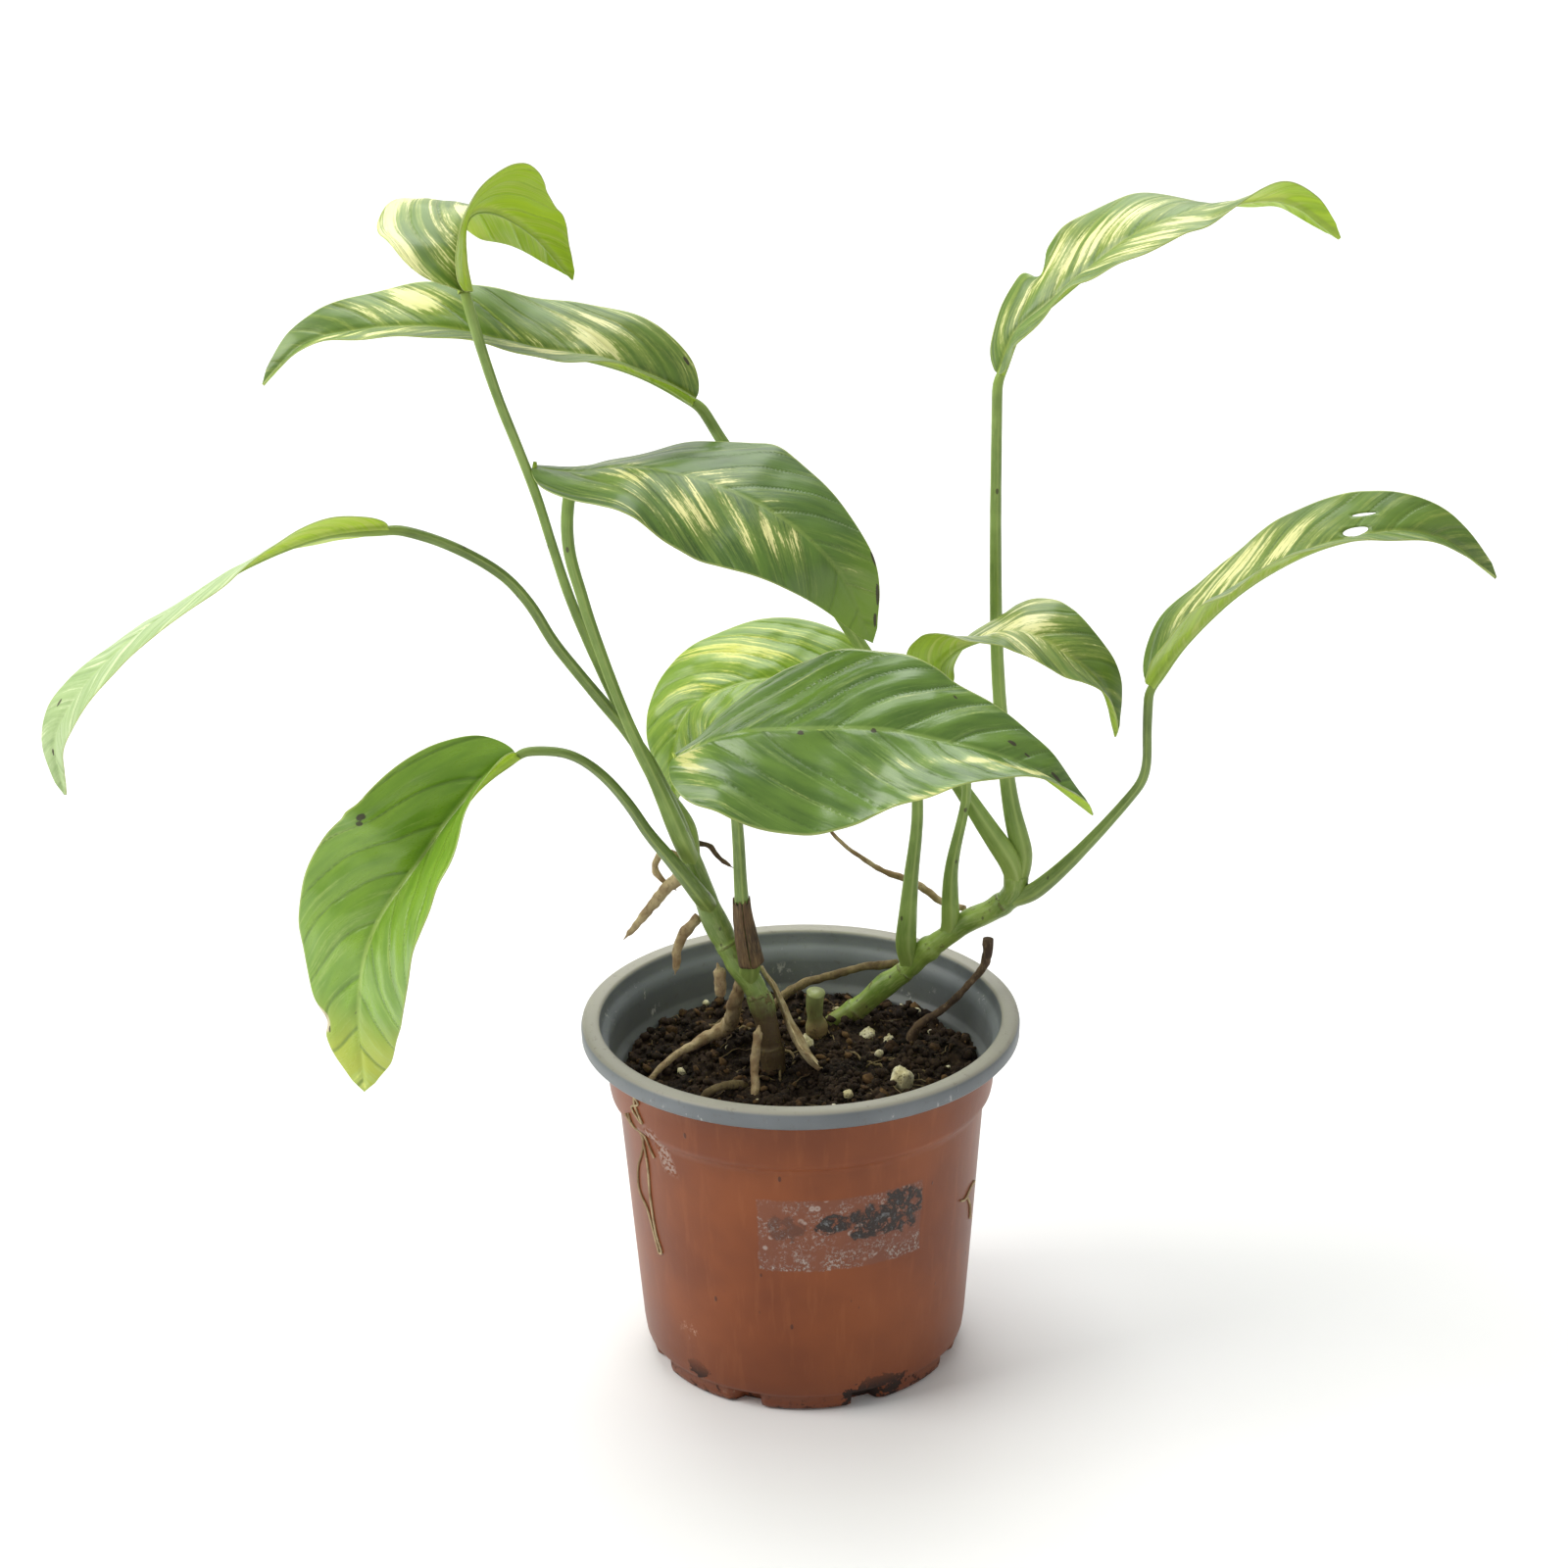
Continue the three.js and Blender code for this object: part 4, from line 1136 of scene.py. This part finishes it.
def blade_piece(name, look):
    grid, half, shares, rise = BLADES[name]
    seed = look["seed"]
    s = np.broadcast_to(np.linspace(-1, 1, ACROSS + 1), grid.shape[:2])
    t = np.broadcast_to(shares[:, None], grid.shape[:2])
    spine = grid[:, ACROSS // 2]
    for at, sign, long, depth in look.get("nicks", ()):
        narrower = 1 - depth * np.exp(-(((t - at) / long) ** 2)) * (s * sign > 0) * np.abs(s) ** 3
        grid = spine[:, None] + (grid - spine[:, None]) * narrower[..., None]
    steps = np.linalg.norm(np.diff(spine, axis=0), axis=1)
    x = np.concatenate([[0], np.cumsum(steps)])[:, None] * np.ones_like(s)
    side = np.abs(s) * half[:, None]
    origin = vein_place(x, side, seed)
    normal = grid_normals(grid, rise)

    wave = origin / look.get("vein_step", VEIN_STEP) + np.where(s > 0, 0.35, 0.0)
    near_vein = np.abs(wave - np.round(wave)) * 2
    edge = np.clip((1 - np.abs(s)) * 4, 0, 1) * np.clip(side / 2.5, 0, 1)
    ends = np.clip(t * 9, 0, 1) * np.clip((1 - t) * 7, 0, 1)
    quilt = look.get("quilt", 0.5) * (near_vein ** 0.7 - 0.6) * edge * ends
    crease = -CREASE * np.exp(-((side / 0.9) ** 2)) * (1 - 0.6 * t)
    drift = bumps(grid, 14, seed).reshape(s.shape) * look.get("drift", 0.6) * np.clip(side / 4, 0, 1)
    blister = bumps(grid, 5.5, seed + 2).reshape(s.shape) * look.get("blister", 0.16) * edge
    ripple = look.get("ripple", 0.4) * s ** 4 * np.sin(x * 0.33 + seed * 2 + (s > 0) * 1.7) * ends
    grid = grid + normal * (quilt + crease + drift + blister + ripple)[..., None]

    thick = 0.2 + 0.8 * np.exp(-((side / 1.1) ** 2)) * (1 - 0.75 * t)
    count, width = grid.shape[:2]
    keep = np.ones((count - 1, width - 1), bool)
    for at, beside, long, wide in look.get("holes", ()):
        far = np.sqrt(((t - at) / long) ** 2 + ((s - beside) / wide) ** 2)
        inside = far < 1
        gone = inside[:-1, :-1] | inside[1:, :-1] | inside[:-1, 1:] | inside[1:, 1:]
        keep &= ~gone
        edge_of_hole = np.zeros_like(inside)
        for di, dj in ((0, 0), (0, 1), (1, 0), (1, 1)):
            edge_of_hole[di:count - 1 + di, dj:width - 1 + dj] |= gone
        edge_of_hole &= ~inside
        middle = grid[inside].mean(axis=0) if inside.any() else grid[0, 0]
        pull = (1 - 1 / np.maximum(far, 1))[..., None] * edge_of_hole[..., None]
        grid = grid + (middle - grid) * pull
    quads = [quad for quad, kept in zip(grid_faces(count, width), keep.reshape(-1)) if kept]
    flat = grid.reshape(-1, 3)
    a, b, c = (flat[[q[k] for q in quads]] for k in (0, 1, 3))
    facing = (np.cross(b - a, c - a) * normal.reshape(-1, 3)[[q[0] for q in quads]]).sum()
    if facing < 0:
        quads = [q[::-1] for q in quads]
    marks = {
        "grain": np.stack([origin.reshape(-1), (np.sign(s) * side).reshape(-1),
                           np.full(s.size, seed * 31.0)], axis=1),
        "blade": np.stack([t.reshape(-1), s.reshape(-1), near_vein.reshape(-1)], axis=1),
        "cream": (look.get("base_cream", 0.0) + spots_on(t, s, look.get("cream", ()))).reshape(-1),
        "brown": spots_on(t, s, look.get("brown", ())).reshape(-1),
        "dried": spots_on(t, s, look.get("dried", ())).reshape(-1),
    }
    made = piece(f"blade_{name}", flat, quads, marks, [look["upper"], look["under"]],
                 ["leaf_" + name])
    group = made.vertex_groups.new(name="thickness")
    for k, weight in enumerate(thick.reshape(-1)):
        group.add([k], float(weight), "REPLACE")
    solid = made.modifiers.new("thickness", "SOLIDIFY")
    solid.thickness = BLADE_THICKNESS * MM
    solid.offset = -1
    solid.vertex_group = "thickness"
    solid.material_offset = 1
    solid.material_offset_rim = 0
    return made


# %% [markdown]
# ## The variegation
#
# Variegated cells grow in files, outwards along the side veins. So the cream is noise stretched
# along the veins, and every leaf has its own share of it: some are mostly cream, one is nearly all
# green. A wider, softer threshold of the same noise gives the grey-green halo between the two.

# %% Leaf finishes
def leaf_finish(name, green, deep, cream, halo, gloss=0.3, vein_tint=0.2, tip=None):
    material, tree = finish(name, Specular_IOR_Level=0.5, Coat_Weight=0.12, Coat_Roughness=0.2)
    grain = attribute(tree, "grain", "Vector")
    blade = attribute(tree, "blade", "Vector")
    t, s, near_vein = (blade.axis(axis) for axis in "XYZ")
    beside = grain.axis("Y").math("ABSOLUTE")

    broad = cloud(grain * (1 / 4.2, 1 / 26.0, 1.0), 1.0, 3, 0.6, 0.2)
    streak = cloud(grain * (1 / 1.3, 1 / 14.0, 1.0), 1.0, 3, 0.65)
    patch = cloud(grain * (1 / 9.0, 1 / 9.0, 1.0), 1.0, 2)
    speck = cloud(grain * (1 / 0.5, 1 / 0.9, 1.0), 1.0, 2, 0.6)
    pattern = broad * 0.42 + streak * 0.26 + patch * 0.2 + speck * 0.12
    pattern = pattern + (attribute(tree, "cream") - 1.0) * 0.14
    white = pattern.step(0.475, 0.535)
    around_white = pattern.step(0.38, 0.5)

    leaf = patch.step(0.3, 0.7).mix(green, deep)
    leaf = (streak.step(0.4, 0.7) * 0.03).mix(leaf, halo)
    if tip:
        leaf = (t + patch * 0.1).step(0.78, 0.98).mix(leaf, tip)
    leaf = (around_white * 0.6).mix(leaf, halo)
    leaf = white.mix(leaf, cream)
    vein = tuple(part * 0.55 for part in deep[:3]) + (1,)
    leaf = ((1.0 - near_vein).step(0.86, 0.98) * vein_tint).mix(leaf, vein)
    leaf = (beside.step(1.0, 0.3) * 0.5 * t.step(1.0, 0.6)).mix(leaf, halo)
    rim = s.math("ABSOLUTE").step(0.97, 0.995)
    leaf = (rim * 0.5).mix(leaf, rgb(196, 208, 120))

    dried = attribute(tree, "dried").step(0.35, 0.55)
    leaf = (dried * 0.9).mix(leaf, rgb(212, 200, 168))
    brown = (attribute(tree, "brown") + cloud(grain, 1.2, 4, 0.7) * 0.5).step(0.72, 0.86)
    leaf = (brown * 0.9).mix(leaf, rgb(52, 40, 26))
    fleck = cells(grain, 5.5).step(0.07, 0.045) * patch.step(0.5, 0.6)
    leaf = (fleck * 0.6).mix(leaf, rgb(86, 74, 40))

    fine = cloud(grain * (1.0, 1 / 5.0, 1.0), 0.7, 3)
    vein_line = (1.0 - near_vein).step(0.8, 1.0)
    small_veins = cells(grain * (1.0, 0.6, 1.0), 2.2).step(0.0, 0.5)
    relief = fine * 0.05 - vein_line * 0.7 + cloud(grain, 3.0, 2) * 0.4 + small_veins * 0.08
    roughness = patch * 0.14 + gloss + dried * 0.3 + brown * 0.2 + speck * 0.08
    connect(tree, leaf, roughness, relief, 0.22)
    return material


def under_finish(name, bright, deep, cream):
    material, tree = finish(name, Roughness=0.42, Specular_IOR_Level=0.4)
    grain = attribute(tree, "grain", "Vector")
    blade = attribute(tree, "blade", "Vector")
    beside = grain.axis("Y").math("ABSOLUTE")
    streak = cloud(grain * (1 / 0.9, 1 / 13.0, 1.0), 1.0, 3, 0.65)
    broad = cloud(grain * (1 / 3.0, 1 / 24.0, 1.0), 1.0, 3, 0.6, 0.15)
    pattern = broad * 0.5 + streak * 0.28 + (attribute(tree, "cream") - 0.5) * 0.3 + 0.1
    # Painted glow: both tones are a bright yellow-green that stands in for light shining through the leaf
    # from behind.
    colour = broad.step(0.3, 0.7).mix(bright, deep)
    colour = (pattern.step(0.46, 0.56) * 0.55).mix(colour, cream)
    vein = (1.0 - blade.axis("Z")).step(0.8, 1.0)
    colour = (vein * 0.35).mix(colour, deep)
    colour = (beside.step(1.3, 0.6) * 0.5).mix(colour, rgb(150, 172, 76))
    connect(tree, colour, None, vein + streak * 0.3, 0.18)
    return material


# The undersides' bright yellow-green is painted glow of light through the leaf. The pale copy has the same
# glow, dimmer.
GLOWING_UNDER = under_finish("leaf_underside_painted_glow", rgb(186, 216, 58), rgb(156, 192, 46), rgb(214, 224, 116))
PALE_GLOWING_UNDER = under_finish("pale_underside_painted_glow", rgb(164, 192, 58), rgb(136, 166, 46), rgb(204, 212, 120))
CREAM = rgb(232, 230, 160)
FINISHES = {
    "deep": leaf_finish("leaf_deep_green", rgb(86, 118, 38), rgb(60, 90, 27), rgb(230, 226, 152),
                        rgb(132, 154, 68),
                        tip=rgb(112, 146, 30)),
    "mid": leaf_finish("leaf_mid_green", rgb(98, 130, 48), rgb(72, 104, 34), rgb(204, 204, 128),
                       rgb(138, 164, 82), 0.2, 0.3),
    "marbled": leaf_finish("leaf_marbled", rgb(102, 132, 44), rgb(76, 106, 32), CREAM, rgb(158, 174, 80)),
    "yellow": leaf_finish("leaf_yellow_green", rgb(120, 152, 40), rgb(88, 124, 30), rgb(214, 216, 108),
                          rgb(156, 180, 66), 0.24),
    "pale": leaf_finish("leaf_pale_green", rgb(128, 166, 50), rgb(104, 144, 38), rgb(204, 214, 104),
                        rgb(170, 194, 100), 0.18, 0.6, tip=rgb(168, 182, 56)),
    # The far left leaf's finish: a pale grey-green with a painted whitish sheen, lightened and greyed in
    # place of the sky's reflection.
    "grey_green_painted_sheen": leaf_finish("leaf_grey_green_painted_sheen", rgb(160, 186, 122), rgb(134, 164, 100), rgb(206, 220, 168),
                         rgb(180, 200, 144), 0.34),
}

# %% [markdown]
# Each leaf's own marks are listed as spots on it: how far along from the stalk, how far out from
# the midrib (one half is negative), how large, and how strong. The cream list says where
# variegation gathers, brown and dried list old damage, and holes go right through. A nick is a
# place along the blade, a side, a length, and how much of the width is lost there. A negative
# loss fills the margin out instead.

# %% Every leaf's look
LOOKS = {
    "far_left": {"finish": "grey_green_painted_sheen", "seed": 1, "base_cream": 0.6, "quilt": 0.12, "ripple": 0.1, "drift": 0.25,
                 "brown": [(0.8, 0.5, 0.012, 0.06), (0.9, 0.1, 0.01, 0.08)]},
    "top_left": {"finish": "marbled", "seed": 2, "base_cream": 0.45, "quilt": 0.3,
                 "cream": [(0.3, -0.9, 0.3, 0.2, 1.0), (0.1, -0.2, 0.1, 0.3, 0.6),
                           (0.45, -0.1, 0.2, 0.14, 0.9)]},
    "top_arch": {"finish": "marbled", "seed": 3, "base_cream": 0.25, "quilt": 0.35, "ripple": 0.25,
                 "brown": [(0.06, 0.82, 0.012, 0.07)],
                 "cream": [(0.64, 0.55, 0.08, 0.35, 1.2), (0.36, -0.5, 0.16, 0.25, 0.9),
                           (0.24, 0.3, 0.13, 0.5, 0.75),
                           (0.72, -0.6, 0.16, 0.2, 0.9)]},
    "centre": {"finish": "deep", "seed": 4, "base_cream": 0.1, "quilt": 0.3, "ripple": 0.2,
               "cream": [(0.22, 0.35, 0.12, 0.5, 0.85), (0.42, 0.4, 0.14, 0.5, 0.9),
                         (0.62, 0.35, 0.12, 0.4, 0.85),
                         (0.16, -0.35, 0.1, 0.4, 0.7), (0.4, -0.12, 0.25, 0.12, 0.6)],
               "brown": [(0.9, -0.9, 0.03, 0.1), (0.95, -0.75, 0.02, 0.16), (0.83, -0.97, 0.02, 0.05)]},
    "mid_back": {"finish": "yellow", "seed": 5, "base_cream": 0.45, "quilt": 0.6, "blister": 0.5,
                 "cream": [(0.45, 0.5, 0.2, 0.35, 0.5), (0.3, -0.3, 0.1, 0.4, 0.4)]},
    "front": {"finish": "mid", "seed": 6, "base_cream": 0.1, "quilt": 0.9, "ripple": 0.3, "vein_step": 15,
              "cream": [(0.68, 0.4, 0.13, 0.12, 1.3), (0.82, 0.55, 0.12, 0.2, 1.4),
                        (0.04, 0.25, 0.05, 0.35, 1.4),
                        (0.6, 0.98, 0.1, 0.1, 0.9)],
              "brown": [(0.76, -0.35, 0.014, 0.06), (0.8, -0.3, 0.01, 0.04), (0.62, -0.72, 0.008, 0.03),
                        (0.88, -0.25, 0.02, 0.1), (0.3, 0.05, 0.012, 0.03), (0.46, 0.02, 0.008, 0.04)]},
    "top_right": {"finish": "marbled", "seed": 7, "base_cream": 0.3, "quilt": 0.5, "ripple": 0.4,
                  "cream": [(0.4, -0.45, 0.2, 0.3, 0.85), (0.55, 0.5, 0.2, 0.4, 0.9),
                            (0.75, -0.1, 0.1, 0.5, 0.8)],
                  "nicks": [(0.23, -1, 0.025, 0.5)]},
    "right": {"finish": "marbled", "seed": 8, "base_cream": 0.3, "quilt": 0.35, "ripple": 0.2,
              "cream": [(0.35, -0.5, 0.2, 0.5, 0.8), (0.2, -0.2, 0.1, 0.3, 0.6)],
              "holes": [(0.655, -0.45, 0.028, 0.036), (0.63, -0.12, 0.03, 0.09)]},
    "small_right": {"finish": "marbled", "seed": 9, "base_cream": 0.35, "quilt": 0.35, "ripple": 0.15,
                    "cream": [(0.42, -0.1, 0.2, 0.8, 0.85)]},
    "lower_left": {"finish": "pale", "seed": 10, "base_cream": 0.0, "quilt": 0.8, "vein_step": 16,
                   "ripple": 0.25,
                   "cream": [(0.98, 0.0, 0.04, 1.0, 1.0)], "dried": [(0.82, 1.0, 0.035, 0.2)],
                   "nicks": [(0.82, 1, 0.03, 0.22), (0.338, 1, 0.024, -0.045), (0.92, 1, 0.06, -0.2),
                             (0.92, -1, 0.06, -0.2)],
                   "brown": [(0.33, 0.84, 0.014, 0.06), (0.35, 0.8, 0.012, 0.05), (0.84, 0.86, 0.012, 0.05)]},
}
PALE_BACKED = {"small_right", "right"}
for name, look in LOOKS.items():
    look["upper"] = FINISHES[look["finish"]]
    look["under"] = PALE_GLOWING_UNDER if name in PALE_BACKED else GLOWING_UNDER
    blade_piece(name, look)
print("blades", len(LOOKS))

# %% [markdown]
# ## Dry sheaths
#
# When a new leaf has unrolled, the sheath round it dries to a papery strip. One leans on the left
# stem, and a shred of another wraps the foot of the front stalk.

# %% Dry sheaths
def husk_finish(name, pale, tan, dark):
    material, tree = finish(name, Roughness=0.7)
    skin = attribute(tree, "skin", "Vector")
    fibre = cloud(skin * (1.0, 0.08, 1.0), 0.4, 4, 0.65)
    colour = cloud(skin, 6, 3).step(0.35, 0.65).mix(pale, tan)
    colour = (fibre.step(0.45, 0.7) * 0.6).mix(colour, dark)
    connect(tree, colour, None, fibre, 0.25)
    return material


HUSK = husk_finish("dry_husk", rgb(206, 190, 148), rgb(150, 122, 84), rgb(104, 78, 50))
DARK_HUSK = husk_finish("dark_husk", rgb(96, 72, 44), rgb(62, 46, 30), rgb(150, 124, 84))


STRIP_THICKNESS, COLLAR_THICKNESS = 0.35, 0.3  # mm


def husk_strip():
    grid, half, shares, rise = blade_grid("dry_sheath", np.array((0.0, 0.0, 150.0)), 90, 16)
    spine = grid[:, 8:9]
    grid = spine + (grid - spine) * (1 + 1.6 * shares ** 3)[:, None, None]
    s = np.broadcast_to(np.linspace(-1, 1, grid.shape[1]), grid.shape[:2])
    x = shares[:, None] * 38 * np.ones_like(s)
    curl = grid_normals(grid, rise) * (0.5 * bumps(grid, 6, 4).reshape(s.shape) + 0.7 * s ** 2)[..., None]
    skin = np.stack([(s * half[:, None]).reshape(-1), x.reshape(-1), np.zeros(s.size)], axis=1)
    quads = grid_faces(*grid.shape[:2])
    made = piece("dry_sheath_strip", (grid + curl).reshape(-1, 3), quads, {"skin": skin}, [HUSK],
                 ["dry_sheath"])
    solid = made.modifiers.new("thickness", "SOLIDIFY")
    solid.thickness = STRIP_THICKNESS * MM
    return made


def husk_collar(node, towards, top, gain=1.1, stations=130):
    """A tight, torn paper wrap round the foot of a stalk, up to that share of its length."""
    line, radii = core_of(node, towards, stations)
    cut = int(stations * top)
    line, radii = line[:cut], flared(line, radii)[:cut] * gain + 0.25
    turns = 48
    _, normals, across = frames_along(line, np.array((0.0, -1.0, 0.2)))
    angles = np.linspace(0.04, 2 * math.pi - 0.04, turns)
    torn = 1 - 0.2 * np.abs(bumps([(math.cos(a) * 2, math.sin(a) * 2, 0) for a in angles], 0.6, 5))
    points, skin = [], []
    for i in range(cut):
        for j, a in enumerate(angles):
            place = i * torn[j]
            k = min(int(place), cut - 2)
            centre = line[k] + (line[k + 1] - line[k]) * (place - k)
            out = math.cos(a) * normals[k] + math.sin(a) * across[k]
            crinkle = 1 + 0.05 * math.sin(a * 5 + i * 0.1) + 0.07 * noise.noise(Vector((a * 2, i * 0.12, 3)))
            points.append(centre + out * radii[k] * crinkle)
            skin.append((math.cos(a) * 3, place * 0.5, math.sin(a) * 3))
    made = piece("collar_" + node, points, grid_faces(cut, turns), {"skin": skin}, [DARK_HUSK])
    solid = made.modifiers.new("thickness", "SOLIDIFY")
    solid.thickness = COLLAR_THICKNESS * MM
    return made


husk_strip()
husk_collar("petiole_front", nearest_stem_point("petiole_front"), 0.27)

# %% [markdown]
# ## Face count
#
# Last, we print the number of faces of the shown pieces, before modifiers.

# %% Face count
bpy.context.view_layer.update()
faces_total = sum(len(o.data.polygons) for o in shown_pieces() if o.type == "MESH")
print("faces before modifiers", faces_total)
